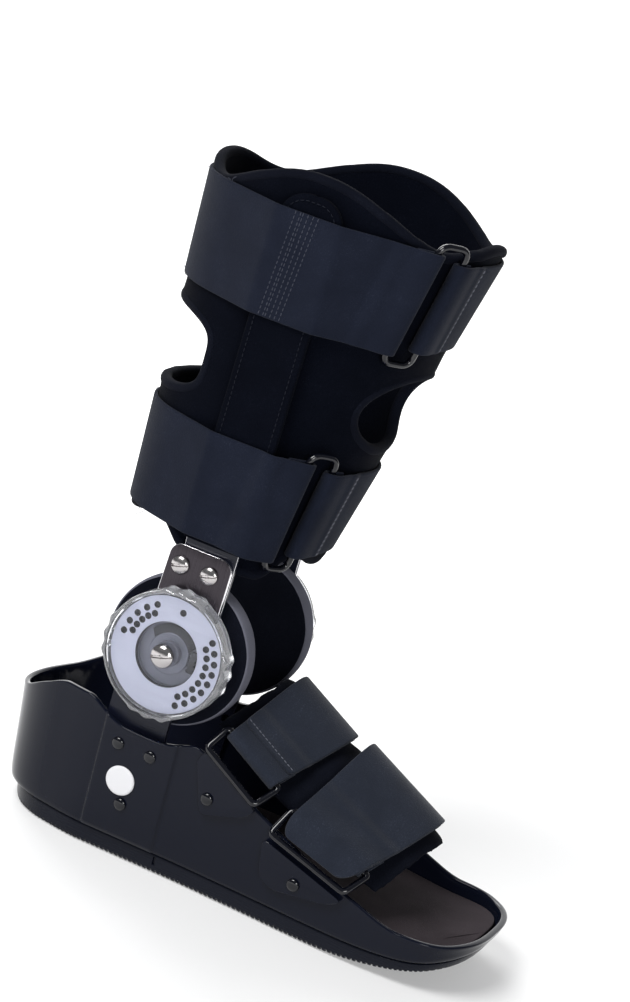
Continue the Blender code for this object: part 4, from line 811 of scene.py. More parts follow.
def plate_piece(name, outlines, inner, thickness, side, finishes, bevel=0.0003, bend=None):
    """A plate with rounded edges whose inner face lies at X = inner; bend is its outward shift at (Y, Z)."""
    curve = bpy.data.curves.new(name, "CURVE")
    curve.dimensions, curve.fill_mode = "2D", "BOTH"
    curve.extrude, curve.bevel_depth = thickness / 2 - bevel, bevel
    curve.bevel_resolution, curve.offset = 2, -bevel
    for outline in outlines:
        spline = curve.splines.new("POLY")
        spline.points.add(len(outline) - 1)
        flat = np.c_[outline, np.zeros(len(outline)), np.ones(len(outline))]
        spline.points.foreach_set("co", flat.ravel())
        spline.use_cyclic_u = True
    guide = new_object(name + "_outline", curve)
    mesh = bpy.data.meshes.new_from_object(guide.evaluated_get(bpy.context.evaluated_depsgraph_get()))
    bpy.data.objects.remove(guide)
    weld(mesh, 0.000005)
    ahead, up, out = read_vectors(mesh.vertices, "co").T
    out = out + inner + thickness / 2 + (bend(ahead, up) if bend else 0.0)
    mesh.vertices.foreach_set("co", np.c_[side * out, ahead, up].ravel())
    if side < 0:
        mesh.flip_normals()
    mesh.update()
    shade(mesh, 25)
    obj = new_object(name, mesh)
    for finish in finishes:
        mesh.materials.append(finish)
    if len(finishes) > 1:
        edge_faces = np.abs(read_vectors(mesh.polygons, "normal")[:, 0]) < 0.93
        mesh.polygons.foreach_set("material_index", edge_faces.astype(int))
    return obj


def rounded(outline, radius, steps=9):
    """The closed outline with each corner replaced by a quadratic curve that starts one radius away."""
    before, after = np.roll(outline, 1, axis=0) - outline, np.roll(outline, -1, axis=0) - outline
    near = outline + before * np.minimum(radius / np.linalg.norm(before, axis=1), 0.45)[:, None]
    far = outline + after * np.minimum(radius / np.linalg.norm(after, axis=1), 0.45)[:, None]
    t = np.linspace(0, 1, steps)[:, None]
    corners = (1 - t) ** 2 * near[:, None] + 2 * t * (1 - t) * outline[:, None] + t**2 * far[:, None]
    return corners.reshape(-1, outline.shape[1])


def wire_rings(path, radius, sides=20):
    """Rings of a round wire along a closed, nearly flat path; the rings stand square to it."""
    tangent = np.roll(path, -1, axis=0) - np.roll(path, 1, axis=0)
    tangent /= np.linalg.norm(tangent, axis=1)[:, None]
    plane = np.cross(path - path.mean(axis=0), tangent).mean(axis=0)
    inward = np.cross(plane / np.linalg.norm(plane), tangent)
    inward /= np.linalg.norm(inward, axis=1)[:, None]
    across = np.cross(tangent, inward)
    turns = np.linspace(0, math.tau, sides, endpoint=False)[:, None]
    return path[:, None] + radius * (np.cos(turns) * inward[:, None] + np.sin(turns) * across[:, None])


def loop_piece(name, bars, wire, corner):
    """A rounded rectangular loop of round wire through the ends of its two bars."""
    (start, end), (far_start, far_end) = bars
    path = rounded(np.array([start, end, far_end, far_start]), corner, 10)
    return sweep_piece(name, wire_rings(path, wire), closed=True, angle=80)


# %% [markdown]
# Two riveted tabs on each side of the shell hold the loops of the foot straps. A tab is a flat outline with
# soft corners, bent along the wall by asking the wall's own function how far out it is at each point.

# %% Strap tabs
TAB_CORNERS = {
    "instep": ((0.4250, 0.890), (0.4390, 0.962), (0.5600, 0.722), (0.5380, 0.640), (0.4560, 0.540)),
    "toe": ((0.5850, 0.580), (0.7620, 0.400), (0.7300, 0.335), (0.6250, 0.275), (0.5950, 0.330)),
}
follow_wall = lambda across, up: wall_outside(FOOT_LENGTH / 2 - across, up) + TAB_LIFT
for kind, corners in TAB_CORNERS.items():
    shares = np.array(corners)
    outline = rounded(np.c_[along(shares[:, 0] * FOOT_LENGTH), shares[:, 1] * RIM_HEIGHT], 0.004)
    for side_name, side in SIDES:
        label = f"{kind}_tab_{side_name}"
        tab = plate_piece(
            "plate_" + label, [outline], 0.0, TAB_THICKNESS, side, [shell_gloss], 0.0004, follow_wall
        )
        dress(tab, "foot", [], [label])

# %% [markdown]
# Each hinge is a stack on one axis, from the ankle outwards: foam pad, painted arm, steel plate, grey
# housing, silver protractor and clear cover, with a domed screw through the middle. The grey recess holds a
# sector and a small toothed block, and the protractor has two staggered rows of holes for the stop pins.

# %% Dial hinges
# rows of pin holes: radius, first and last angle from the rear, how many
HOLE_ROWS = (
    (0.0230, 118.0, 172.0, 5),
    (0.0193, 124.0, 166.0, 5),
    (0.0212, 84.0, 84.0, 1),
    (0.0236, -62.0, 34.0, 9),
    (0.0198, -56.0, 28.0, 8),
)
HOLE_RADIUS, COVER_BUMP, HEAD_RADIUS, HEAD_HEIGHT = 0.0015, 0.0012, 0.0056, 0.0029
SLOT_SLOPE, SLOT_HALF, SLOT_DEPTH = 0.31, 0.00055, 0.0011
SECTOR_OUTER, SECTOR_INNER, SECTOR_THICKNESS, BLOCK_THICKNESS = 0.0136, 0.0082, 0.0010, 0.0019
BLOCK_NEAR, BLOCK_FAR, BLOCK_REACH, TOOTH_PITCH, TOOTH_DEPTH = 0.0101, 0.0141, 0.0050, 0.0020, 0.0006
WASHER_OUTER, WASHER_INNER, WASHER_THICKNESS = 0.0098, 0.0062, 0.0012
axis = (along(AXIS_FORWARD), AXIS_HEIGHT)
RECESS = HOUSING_OUTER - RECESS_DEPTH
covers = []
# The rim's copy of the clear plastic lets only 88 % through and shows the rest as diffuse white: a painted
# highlight standing in for the rim's glassy reflections.
for name, clearness, bend_index in (("clear_plastic", 1.0, 1.30), ("clear_rim_highlight", 0.88, 1.46)):
    clear, tree, shader = new_material(name, (0.96, 0.97, 1.0), 0.05)
    shader.inputs["Transmission Weight"].default_value = clearness
    shader.inputs["IOR"].default_value = bend_index
    spot = add_node(tree, "ShaderNodeTexCoord").outputs["Object"]
    ripple = add_node(tree, "ShaderNodeTexNoise", {"Vector": spot, "Scale": 260.0, "Detail": 2.0})
    add_bump(tree, shader, ripple.outputs["Fac"], 0.4, 0.00012)
    covers.append(clear)

housing_rows = [
    (HOUSING_RADIUS - 0.0004, HOUSING_OUTER),
    (HOUSING_RADIUS, HOUSING_OUTER - 0.0004),
    (HOUSING_RADIUS, HOUSING_INNER),
    (SCREW_RADIUS + GAP, HOUSING_INNER),
    (SCREW_RADIUS + GAP, PROTRACTOR_OUTER),
    (2 * SCREW_RADIUS - 0.0003, PROTRACTOR_OUTER),
    (2 * SCREW_RADIUS, PROTRACTOR_OUTER - 0.0003),
    (2 * SCREW_RADIUS, RECESS),
    (RECESS_RADIUS, RECESS),
    (RECESS_RADIUS, HOUSING_OUTER),
]
cover_turns = np.linspace(0, math.tau, 288, endpoint=False)
grouped = ease((np.cos(4 * cover_turns) + 0.25) / 0.3)
bumps = COVER_BUMP * (0.15 + 0.85 * (0.5 + 0.5 * np.cos(24 * cover_turns))) * grouped
shoulder = np.radians(np.linspace(0, 90, 6))
cover_rows = np.r_[
    [(COVER_RADIUS, HOUSING_INNER, 1.0)],
    np.c_[
        COVER_RADIUS - COVER_WALL * (1 - np.cos(shoulder)),
        COVER_FRONT - COVER_WALL * (1 - np.sin(shoulder)),
        1 - 0.8 * np.sin(shoulder) ** 2,
    ],
    [
        (COVER_RADIUS - 2.2 * COVER_WALL, COVER_FRONT, 0.0),
        (SCREW_RADIUS + GAP, COVER_FRONT, 0.0),
        (SCREW_RADIUS + GAP, COVER_FRONT - COVER_WALL, 0.0),
        (COVER_RADIUS - 1.5 * COVER_WALL, COVER_FRONT - COVER_WALL, 0.0),
        (COVER_RADIUS - COVER_WALL, COVER_FRONT - 1.5 * COVER_WALL, 0.0),
        (COVER_RADIUS - COVER_WALL, HOUSING_INNER, 0.0),
    ],
]
head_turns = np.linspace(0.03, 1, 14) * math.pi / 2
seat = COVER_FRONT + GAP
head_rows = np.r_[
    np.c_[HEAD_RADIUS * np.sin(head_turns), seat + 0.0003 + (HEAD_HEIGHT - 0.0003) * np.cos(head_turns)],
    [(HEAD_RADIUS, seat), (SCREW_RADIUS, seat), (SCREW_RADIUS, ARM_INNER + GAP)],
]


def slotted(points, side, place, radius, lowest):
    """Points of a turned head with a straight slot: those close to the slot's line are pushed inwards."""
    across, out = points[..., 1] - place[1], side * points[..., 0]
    above = points[..., 2] - place[2]
    within = (np.abs(above + SLOT_SLOPE * across) < SLOT_HALF) & (np.hypot(across, above) < 0.93 * radius)
    points[..., 0] -= side * np.where(within & (out > lowest), SLOT_DEPTH, 0.0)
    return points


def mark_faces(piece, side, chosen):
    """Give the second finish to the faces chosen by their distance outwards and from the axis."""
    out, ahead, up = read_vectors(piece.data.polygons, "center").T
    marked = chosen(side * out, np.hypot(ahead - axis[0], up - axis[1]))
    piece.data.polygons.foreach_set("material_index", marked.astype(int))


for side_name, side in SIDES:
    place = (0.0, *axis)
    housing_rings = turned_points(housing_rows, place, side, segments=96)
    housing = sweep_piece("turned_housing_" + side_name, housing_rings, closed=True, angle=30)
    dress(housing, "foot", [dial_grey, dial_dark_and_hole_shade], ["hinge_housing_" + side_name])
    # The housing's front face, seen only through the protractor's pin holes, takes the dark finish: painted
    # shade in the holes.
    mark_faces(housing, side, lambda out, reach: (out > HOUSING_OUTER - 0.0003) & (reach > RECESS_RADIUS))

    holes = [circle(axis, RECESS_RADIUS + GAP, 72)]
    for radius, first, last, count in HOLE_ROWS:
        for turn in np.radians(np.linspace(first, last, count)):
            spot = (axis[0] - radius * math.cos(turn), axis[1] + radius * math.sin(turn))
            holes.append(circle(spot, HOLE_RADIUS, 20))
    rim = [circle(axis, HOUSING_RADIUS - 2 * GAP, 120)]
    label = "protractor_" + side_name
    # The protractor's edge faces, the walls of its pin holes among them, take the dark finish: painted shade in
    # the holes and along the edges.
    finishes = [dial_silver, dial_dark_and_hole_shade]
    dial = plate_piece(
        "plate_" + label, rim + holes, PROTRACTOR_INNER, PROTRACTOR_THICKNESS, side, finishes, 0.0002
    )
    dress(dial, "foot", [], [label])

    radius, out = cover_rows[:, 0, None] + cover_rows[:, 2, None] * bumps, cover_rows[:, 1, None]
    across, up = axis[0] + radius * np.cos(cover_turns), axis[1] + radius * np.sin(cover_turns)
    cover_rings = np.stack(np.broadcast_arrays(side * out, across, up), axis=-1)
    cover = sweep_piece("turned_cover_" + side_name, cover_rings, closed=True, angle=35)
    dress(cover, "foot", covers, ["dial_cover_" + side_name])
    # the faces beyond the housing's radius, the cover's rim, take the milky copy: a painted highlight
    mark_faces(cover, side, lambda out, reach: reach > HOUSING_RADIUS)

    head_points = turned_points(head_rows, place, side, segments=96)
    head_points = slotted(head_points, side, place, HEAD_RADIUS, seat + 0.0005)
    screw = sweep_piece("turned_pivot_" + side_name, head_points, angle=25)
    dress(screw, "foot", [chrome], ["pivot_screw_" + side_name])

    # the sector in the recess, and the toothed block that the stop pins meet
    floor, dark = RECESS + 0.0001, [dial_dark_and_hole_shade]
    outer_arc = circle(axis, SECTOR_OUTER, 30, math.radians(38), math.radians(150))
    inner_arc = circle(axis, SECTOR_INNER, 24, math.radians(165), math.radians(20))
    label = "recess_sector_" + side_name
    sector = plate_piece(label, [np.r_[outer_arc, inner_arc]], floor, SECTOR_THICKNESS, side, dark, 0.0002)
    dress(sector, "foot", [])
    teeth = np.linspace(-BLOCK_REACH, BLOCK_REACH, 60)
    notch = TOOTH_DEPTH * (np.abs((teeth / TOOTH_PITCH) % 1 - 0.5) < 0.25)
    near = np.c_[axis[0] - BLOCK_NEAR - notch, axis[1] + teeth]
    far = np.c_[axis[0] - BLOCK_FAR + notch, axis[1] + teeth]
    label = "toothed_block_" + side_name
    block = plate_piece(label, [np.r_[near, far[::-1]]], floor, BLOCK_THICKNESS, side, dark, 0.00012)
    dress(block, "foot", [])
    washer_rows = [
        (WASHER_OUTER - 0.0004, RECESS + WASHER_THICKNESS),
        (WASHER_OUTER, RECESS + WASHER_THICKNESS - 0.0003),
        (WASHER_OUTER, RECESS),
        (WASHER_INNER, RECESS),
        (WASHER_INNER, RECESS + WASHER_THICKNESS),
    ]
    washer_rings = turned_points(washer_rows, place, side, segments=72)
    washer = sweep_piece("recess_washer_" + side_name, washer_rings, closed=True, angle=30)
    dress(washer, "foot", [dial_grey])
print("dial", len(holes) - 1, "pin holes")

# %% [markdown]
# The steel plate over the arm is dark brushed metal whose rounded edge has a bright metal finish, a painted
# highlight along the edge. Brushing is a noise stretched a hundredfold along the strokes: here they run up
# the plate. The plate's outline is the convex line round two corner arcs and the round foot at the axis, and
# its edge faces take the bright finish, the painted edge highlight.


# %% Upper plates and their screws
def hull(points):
    """The convex outline of points, anticlockwise: points that turn the wrong way are dropped one by one."""
    ordered = sorted(map(tuple, np.round(points, 7)))

    def half(sequence):
        kept = []
        for point in sequence:
            while len(kept) > 1:
                (ax, ay), (bx, by) = kept[-2], kept[-1]
                if (bx - ax) * (point[1] - ay) - (by - ay) * (point[0] - ax) > 0:
                    break
                kept.pop()
            kept.append(point)
        return kept[:-1]

    return np.array(half(ordered) + half(ordered[::-1]))


brushed_steel, tree, shader = new_material("brushed_steel", (0.0480, 0.0430, 0.0490), 0.30, 1.0)
spot = add_node(tree, "ShaderNodeTexCoord").outputs["Object"]
strokes = add_node(
    tree, "ShaderNodeMapping", {"Vector": spot, "Scale": (1.0, 1.0, 0.012), "Rotation": (0.03, 0.0, 0.0)}
)
brushing = add_node(
    tree, "ShaderNodeTexNoise", {"Vector": strokes.outputs["Vector"], "Scale": 3200.0, "Detail": 3.0}
).outputs["Fac"]
gloss = add_node(
    tree,
    "ShaderNodeMapRange",
    {"Value": brushing, "From Min": 0.3, "From Max": 0.7, "To Min": 0.24, "To Max": 0.46},
)
tint = add_mix(tree, brushing, (0.024, 0.021, 0.025), (0.072, 0.064, 0.073))
tree.links.new(tint.outputs["Result"], shader.inputs["Base Color"])
tree.links.new(gloss.outputs["Result"], shader.inputs["Roughness"])
add_bump(tree, shader, brushing, 0.6, 0.00002)

PLATE_BACK, PLATE_FRONT, PLATE_CORNER, PLATE_FOOT = 0.0655, 0.0967, 0.0060, 0.0160
SCREW_FORWARD, SCREW_HEIGHT, SCREW_SPACING, PLATE_SCREW, PLATE_DOME = 0.0797, 0.1455, 0.0146, 0.0044, 0.0022
corners = []
for ahead, turn in ((PLATE_BACK + PLATE_CORNER, 0.0), (PLATE_FRONT - PLATE_CORNER, math.pi / 2)):
    centre = (along(ahead), PLATE_TOP - PLATE_CORNER)
    corners.append(circle(centre, PLATE_CORNER, 14, turn, turn + math.pi / 2))
sides = [(along(ahead), AXIS_HEIGHT + PLATE_FOOT) for ahead in (PLATE_BACK, PLATE_FRONT)]
plate_outline = hull(np.concatenate(corners + [circle(axis, PLATE_FOOT, 72), np.array(sides)]))
screw_places = [along(SCREW_FORWARD + share * SCREW_SPACING) for share in (-0.5, 0.5)]
head = PLATE_OUTER + GAP
screw_rows = np.r_[
    np.c_[PLATE_SCREW * np.sin(head_turns), head + 0.0002 + (PLATE_DOME - 0.0002) * np.cos(head_turns)],
    [(PLATE_SCREW, head), (RIVET_SHANK, head), (RIVET_SHANK, ARM_INNER)],
]
outlines, finishes = [plate_outline, circle(axis, SCREW_RADIUS + GAP, 32)], [brushed_steel, edge_highlight]
for side_name, side in SIDES:
    label = "steel_plate_" + side_name
    steel = plate_piece(label, outlines, PLATE_INNER, PLATE_THICKNESS, side, finishes, 0.0006)
    dress(steel, "leg", [], ["upper_plate_" + side_name])
    for ahead, end in zip(screw_places, ("rear", "front")):
        place = (0.0, ahead, SCREW_HEIGHT)
        points = turned_points(screw_rows, place, side, segments=80)
        points = slotted(points, side, place, PLATE_SCREW, head + 0.0003)
        small = sweep_piece(f"turned_screw_{side_name}_{end}", points, angle=25)
        dress(small, "leg", [chrome], [f"plate_screw_{side_name}_{end}"])

# %% [markdown]
# The painted arms and the flat uprights are plain bars, so their CAD solids are kept and only finished:
# their loose triangles are welded, and a small bevel gives the edge that catches the light. On the
# uprights that bevel takes the bright edge finish, a painted highlight.

# %% Kept bars
for side_name, side in SIDES:
    for label in ("lower_arm_", "upright_"):
        bar = nodes[label + side_name]
        bar.data.materials.clear()
        bar.data.materials.append(arm_paint)
        bar.modifiers.new("weld", "WELD").merge_threshold = 0.00001
        bevel = bar.modifiers.new("bevel", "BEVEL")
        bevel.width, bevel.segments = 0.0004, 2
        bevel.limit_method, bevel.angle_limit = "ANGLE", math.radians(40)
        if label == "upright_":
            # the uprights' bevel takes the bright edge finish: a painted highlight
            bar.data.materials.append(edge_highlight)
            bevel.material = 1

# %% [markdown]
# The round ankle pads are cut from laminated foam: black velour on both faces, and a bare grey foam edge
# that bulges a little where the knife let it spring back. A foam disc is a turned shape, so it is spun from
# its profile. The rows of the profile say which faces are velour and which are foam.

# %% Ankle pads
pad_inner, pad_outer = ANKLE_SPACE / 2, ANKLE_SPACE / 2 + PAD_THICKNESS
pad_middle, segments = (pad_inner + pad_outer) / 2, 120
side_turns = np.radians(np.linspace(80, -80, 15))
crown = np.linspace(0.02, 1, 12)
face_radius = PAD_RADIUS - 0.0012
foam_rows = np.r_[
    np.c_[face_radius * crown, pad_outer - 0.0007 * crown**6],
    np.c_[
        PAD_RADIUS - 0.0008 * (1 - np.cos(side_turns)),
        pad_middle + (PAD_THICKNESS / 2 - 0.0009) * np.sin(side_turns),
    ],
    np.c_[face_radius * crown[::-1], pad_inner + 0.0007 * crown[::-1] ** 6],
]
turns = np.linspace(0, math.tau, segments, endpoint=False)
outer_rows = foam_rows[:, 0, None] > 0.8 * PAD_RADIUS
swell = 0.00018 * (np.sin(7 * turns) + 0.7 * np.sin(11 * turns + 1.0)) * outer_rows
for side_name, side in SIDES:
    points = turned_points(foam_rows, (0.0, *axis), side, segments=segments)
    points[..., 0] = side * (pad_middle + (np.abs(points[..., 0]) - pad_middle) * (1 - swell / 0.006))
    pad = sweep_piece("foam_disc_" + side_name, points, angle=50)
    dress(pad, "foot", [velour, grey_foam], ["ankle_pad_" + side_name])
    rows = np.repeat(np.arange(len(foam_rows) - 1), segments)
    foam = (rows >= len(crown) - 1) & (rows < len(crown) + len(side_turns))
    index = np.zeros(len(pad.data.polygons), int)
    index[: len(rows)] = foam
    pad.data.polygons.foreach_set("material_index", index)

# %% [markdown]
# Straps are ribbons: a surface of points, one row for each place across the width and one column for each
# place along it, given a thickness square to itself. Close to both edges the thickness falls to nothing
# along a quarter circle, which gives woven tape its soft edge. The same places across the width serve every
# strap.

# %% Ribbons and stitches
LOOP_WIRE, STRAP_THICKNESS, FOLD_LENGTH = 0.0016, 0.0018, 0.0120
EDGE_TURNS = np.radians(np.linspace(0, 90, 5))
BEND = np.radians(np.linspace(-90, 90, 20))[1:-1]


def across_places(width, soft=0.0009):
    """Places across a strap from -1 to 1 and its share of the full thickness there."""
    share = soft / (width / 2)
    edge = 1 - share + share * np.sin(EDGE_TURNS)
    rise = np.cos(EDGE_TURNS)
    inner = np.linspace(-(1 - share), 1 - share, 9)[1:-1]
    return np.r_[-edge[::-1], inner, edge], np.r_[rise[::-1], np.ones(7), rise]


def ribbon_normals(lines):
    """Unit vectors square to a surface of points [across, along]."""
    return units(np.cross(np.gradient(lines, axis=1), np.gradient(lines, axis=0)))


def ribbon_piece(name, lines, rise, thickness=STRAP_THICKNESS):
    """A strap through a surface of points; rise is the share of its thickness at each row."""
    offset = ribbon_normals(lines) * (thickness / 2 * rise)[:, None, None]
    rings = np.concatenate([lines + offset, (lines - offset)[-2:0:-1]]).transpose(1, 0, 2)
    return sweep_piece(name, rings, angle=70)


def units(vectors):
    """The vectors shortened or stretched to length one."""
    return vectors / np.linalg.norm(vectors, axis=-1, keepdims=True)


def copies(faces, size, count):
    """The faces of one small shape of this many points, repeated for each of its copies."""
    return (faces[None] + size * np.arange(count)[:, None, None]).reshape(-1, 4).tolist()


def stitch_piece(name, rows, finish, body, pitch=0.0026, length=0.0019, radius=0.00024):
    """Stitches along rows of (points, normals): small ellipsoids half sunk in the cloth."""
    centres, along_row, out_row = [], [], []
    for points, normals in rows:
        reach = np.r_[0, np.cumsum(np.linalg.norm(np.diff(points, axis=0), axis=1))]
        spots = np.arange(pitch / 2, reach[-1], pitch)
        place = lambda at: np.stack([np.interp(at, reach, points[:, i]) for i in range(3)], axis=1)
        centres.append(place(spots))
        along_row.append(place(spots + pitch / 4) - place(spots - pitch / 4))
        out_row.append(np.stack([np.interp(spots, reach, normals[:, i]) for i in range(3)], axis=1))
    centre, run, out = (np.concatenate(part) for part in (centres, along_row, out_row))
    run = units(run)
    side = units(np.cross(run, out))
    lengthwise = np.radians(np.linspace(4, 176, 7))[:, None, None]
    turns = np.linspace(0, math.tau, 8, endpoint=False)[:, None]
    run, side, out, centre = (part[:, None, None] for part in (run, side, out, centre))
    girth = radius * np.sin(lengthwise)
    points = centre - length / 2 * np.cos(lengthwise) * run
    points = points + girth * np.cos(turns) * side + girth * np.sin(turns) * out
    faces = copies(quads(7, 8, around=True)[:, ::-1], 56, len(centre))
    made = mesh_piece(name, points, faces, 80)
    print(name, len(centre), "stitches")
    return dress(made, body, [finish])


# %% [markdown]
# The two foot straps are hook-and-loop tape. Each is sewn round its outer loop, crosses the instep on an
# arch, goes through the inner loop and comes back over itself, so its free end lies on the outer side. The
# arch is a hyperbola: flat over the ridge and straight down the sides. A small table places the middle of
# each strap on the ridge and at its side.

# %% Foot straps
INSTEP_HEIGHT, INSTEP_ROUND, BAR_REACH, SIDE_TAPER, LOOP_OVERHANG = 0.1045, 0.015, 0.0425, 0.78, 0.0006
OVERHANG_START, OVERHANG_DROP = 0.0015, 0.43
SIDE_REACH = PANEL_HALF + RIM_FLARE + GAP + 2 * LOOP_WIRE
# a strap's middle on the ridge and at its side: place forward and height as shares, slope in degrees
STRAP_PLACES = {
    "instep": ((0.567, 0.881, 28.0), (0.4965, 0.6100, 29.3)),
    "toe": ((0.750, 0.694, 26.6), (0.6790, 0.3850, 16.5)),
}


def arch_share(across):
    """How far down its side a strap is at a distance from the middle: 0 on the ridge, 1 at the loops."""
    drop = np.sqrt(1 + (across / INSTEP_ROUND) ** 2) - 1
    return drop / (math.sqrt(1 + (SIDE_REACH / INSTEP_ROUND) ** 2) - 1)


def strap_line(kind, width, place, across):
    """A line along a foot strap's lower face: place is -1 at its rear edge and 1 at its front edge."""
    share, spots = arch_share(across), []
    for (ahead, up, slope), taper in zip(STRAP_PLACES[kind], (1.0, SIDE_TAPER)):
        reach, slope = place * width / 2 * taper, math.radians(slope)
        ahead = ahead * FOOT_LENGTH + reach * math.cos(slope)
        spots.append([ahead, up * INSTEP_HEIGHT - reach * math.sin(slope)])
    top, side = np.array(spots).reshape(2, 2, -1)
    ahead, up = top + share * (side - top)
    return np.c_[across, along(ahead), up]


def strap_frame(kind, width, places, across):
    """Lines of a foot strap at places across it, with the directions along it and out of it."""
    lines_at = lambda at: np.stack([strap_line(kind, width, place, at) for place in places])
    run = units(lines_at(across + 0.0004) - lines_at(across - 0.0004))
    over = strap_line(kind, width, 1.0, across) - strap_line(kind, width, -1.0, across)
    out = units(np.cross(over[None], run))
    return lines_at(across), run, out * np.sign(out[..., 2:])


def foot_strap(kind, width, free_end, corner):
    """The middle surface of a foot strap from its sewn hem to its free end, with its rise."""
    radius, layer = LOOP_WIRE + GAP + STRAP_THICKNESS / 2, STRAP_THICKNESS + GAP
    over = np.linspace(-BAR_REACH, BAR_REACH, 141)
    outer_rise = 2 * radius + (layer - 2 * radius) * ease((over + BAR_REACH) / FOLD_LENGTH)
    settled = layer * (1 - ease((over + BAR_REACH - FOLD_LENGTH) / (0.5 * FOLD_LENGTH)))
    first = np.where(over + BAR_REACH < FOLD_LENGTH, outer_rise, settled)
    tip = corner * (1 - np.sin(np.radians(np.linspace(0, 88, 9)[1:])))
    back = np.r_[np.linspace(BAR_REACH, corner - free_end, 110), tip - free_end]
    hanging = OVERHANG_DROP * np.clip(-BAR_REACH - OVERHANG_START - back, 0, None)
    folded = (2 * radius - layer) * (1 - ease((BAR_REACH - back) / (1.5 * FOLD_LENGTH)))
    second = np.interp(back, over, first) - hanging + layer + folded
    hem = -BAR_REACH + FOLD_LENGTH * np.linspace(0.8, 0.0, 9)
    at_bar = np.full(len(BEND), BAR_REACH)
    aside, raised = radius * np.cos(BEND), radius + radius * np.sin(BEND)
    across = np.r_[hem, -at_bar, over, at_bar, back]
    shift = np.r_[np.zeros(len(hem)), -aside, np.zeros(len(over)), aside, np.zeros(len(back))]
    out = np.r_[np.zeros(len(hem)), raised, first, raised, second]
    on_top = np.arange(len(across)) > len(across) - len(back)
    past = np.clip(1 - (across + free_end) / corner, 0, 1) * on_top
    narrowed = 1 - corner * (1 - np.sqrt(1 - past**2)) / (width / 2)
    places, rise = across_places(width)
    lines, run, normal = strap_frame(kind, width, [place * narrowed for place in places], across)
    return lines + run * shift[None, :, None] + normal * out[None, :, None], rise


# width, reach of the free end from the middle, radius of its corners
FOOT_STRAPS = {"instep": (0.0375, 0.0370, 0.0025), "toe": (0.0490, 0.0520, 0.0075)}
foot_lines = {}
for kind, (width, free_end, corner) in FOOT_STRAPS.items():
    lines, rise = foot_strap(kind, width, free_end, corner)
    foot_lines[kind] = lines
    strap = ribbon_piece("tape_" + kind, lines, rise)
    # the foot straps take the lighter copy of the webbing: painted light from above
    dress(strap, "foot", [top_lit_webbing], [kind + "_strap"])
    radius = LOOP_WIRE + GAP + STRAP_THICKNESS / 2
    for side_name, side in SIDES:
        bar, _, normal = strap_frame(kind, width, [-1.0, 1.0], np.array([side * BAR_REACH]))
        lower, _, _ = strap_frame(kind, width, [-1.0, 1.0], np.array([side * SIDE_REACH]))
        bars = []
        for start, end in ((bar[:, 0] + normal[:, 0] * radius), lower[:, 0]):
            reach = (end - start) * (LOOP_OVERHANG + LOOP_WIRE) / np.linalg.norm(end - start)
            bars.append((start - reach, end + reach))
        loop = loop_piece(f"wire_{kind}_loop_{side_name}", bars, LOOP_WIRE, 0.0026)
        dress(loop, "foot", [loop_gloss], [f"{kind}_loop_{side_name}"])
print(len(foot_lines), "foot straps through four loops")

# %% [markdown]
# A calf strap follows the leg's oval section and the two pockets on its sides, like a belt over everything
# under it: the tight line is the convex outline of the section and the pocket corners. At one end the strap
# folds round the bar of a rectangular ring, and a short keeper folds round the ring's other bar and runs
# the other way.

# %% Shape of the leg
CALF_LENGTH, CALF_WIDTH, ANKLE_LENGTH = 0.1290, 0.1130, 0.0990
UPPER_CENTRE, LOWER_CENTRE, OVAL_POWER = 0.0855, 0.0750, 2.25
WRAP_THICKNESS, POCKET_THICKNESS, POCKET_BACK, POCKET_FRONT = 0.0040, 0.0014, 0.0690, 0.0990
STRAP_WIDTH, KEEPER_WIDTH = 0.0500, 0.0440
UPPER_HEIGHT, POCKET_TOP = 0.8757 * WRAP_HEIGHT, 0.9760 * WRAP_HEIGHT
LOWER_HEIGHT, POCKET_BOTTOM = PLATE_TOP + 0.0050 + STRAP_WIDTH / 2, PLATE_TOP + 0.0035
RING_WIRE, RING_CLEAR, RING_WIDTH, RING_OVERHANG = 0.0015, 0.0006, 0.0130, 0.0040
HEM_COUNT = 7


def signed_power(values, power):
    """The values raised to a power with their signs kept: the sine and cosine of a superellipse."""
    return np.sign(values) * np.abs(values) ** power


def leg_shape(height):
    """Centre, half length and half width of the wrap's outside at a height."""
    share = np.clip((height - LOWER_HEIGHT) / (UPPER_HEIGHT - LOWER_HEIGHT), -0.25, 1.25)
    centre = LOWER_CENTRE + (UPPER_CENTRE - LOWER_CENTRE) * share
    length = (ANKLE_LENGTH + (CALF_LENGTH - ANKLE_LENGTH) * share) / 2
    narrow = ARM_INNER - BAR_CLEAR
    flare = np.clip((height - PLATE_TOP) / (UPPER_HEIGHT - PLATE_TOP), 0, 1.25)
    return centre, length, narrow + (CALF_WIDTH / 2 - narrow) * flare


def wrap_section(height, turns):
    """X and Y of the wrap's outside at angles from the front: a rounded oval about the leg's centre."""
    centre, length, width = leg_shape(height)
    power = 2 / OVAL_POWER
    across, ahead = -width * signed_power(np.sin(turns), power), length * signed_power(np.cos(turns), power)
    return np.stack([across, along(centre + ahead)], axis=-1)


def bar_inner(height):
    """Distance from the middle of the boot to the inner face of an upright."""
    return leg_shape(height)[2] + BAR_CLEAR


def bar_lean(height):
    """How far forward of its lower end an upright is at a height."""
    return BAR_LEAN * np.clip(height - PLATE_TOP, 0, None)


def pocket_corners(height):
    """X and Y of the outer corners of both pockets at a height."""
    outside = bar_inner(height) + BAR_THICKNESS + GAP + POCKET_THICKNESS
    places = [along(place + bar_lean(height)) for place in (POCKET_BACK, POCKET_FRONT)]
    return np.array([(side * outside, place) for side in (-1, 1) for place in places])


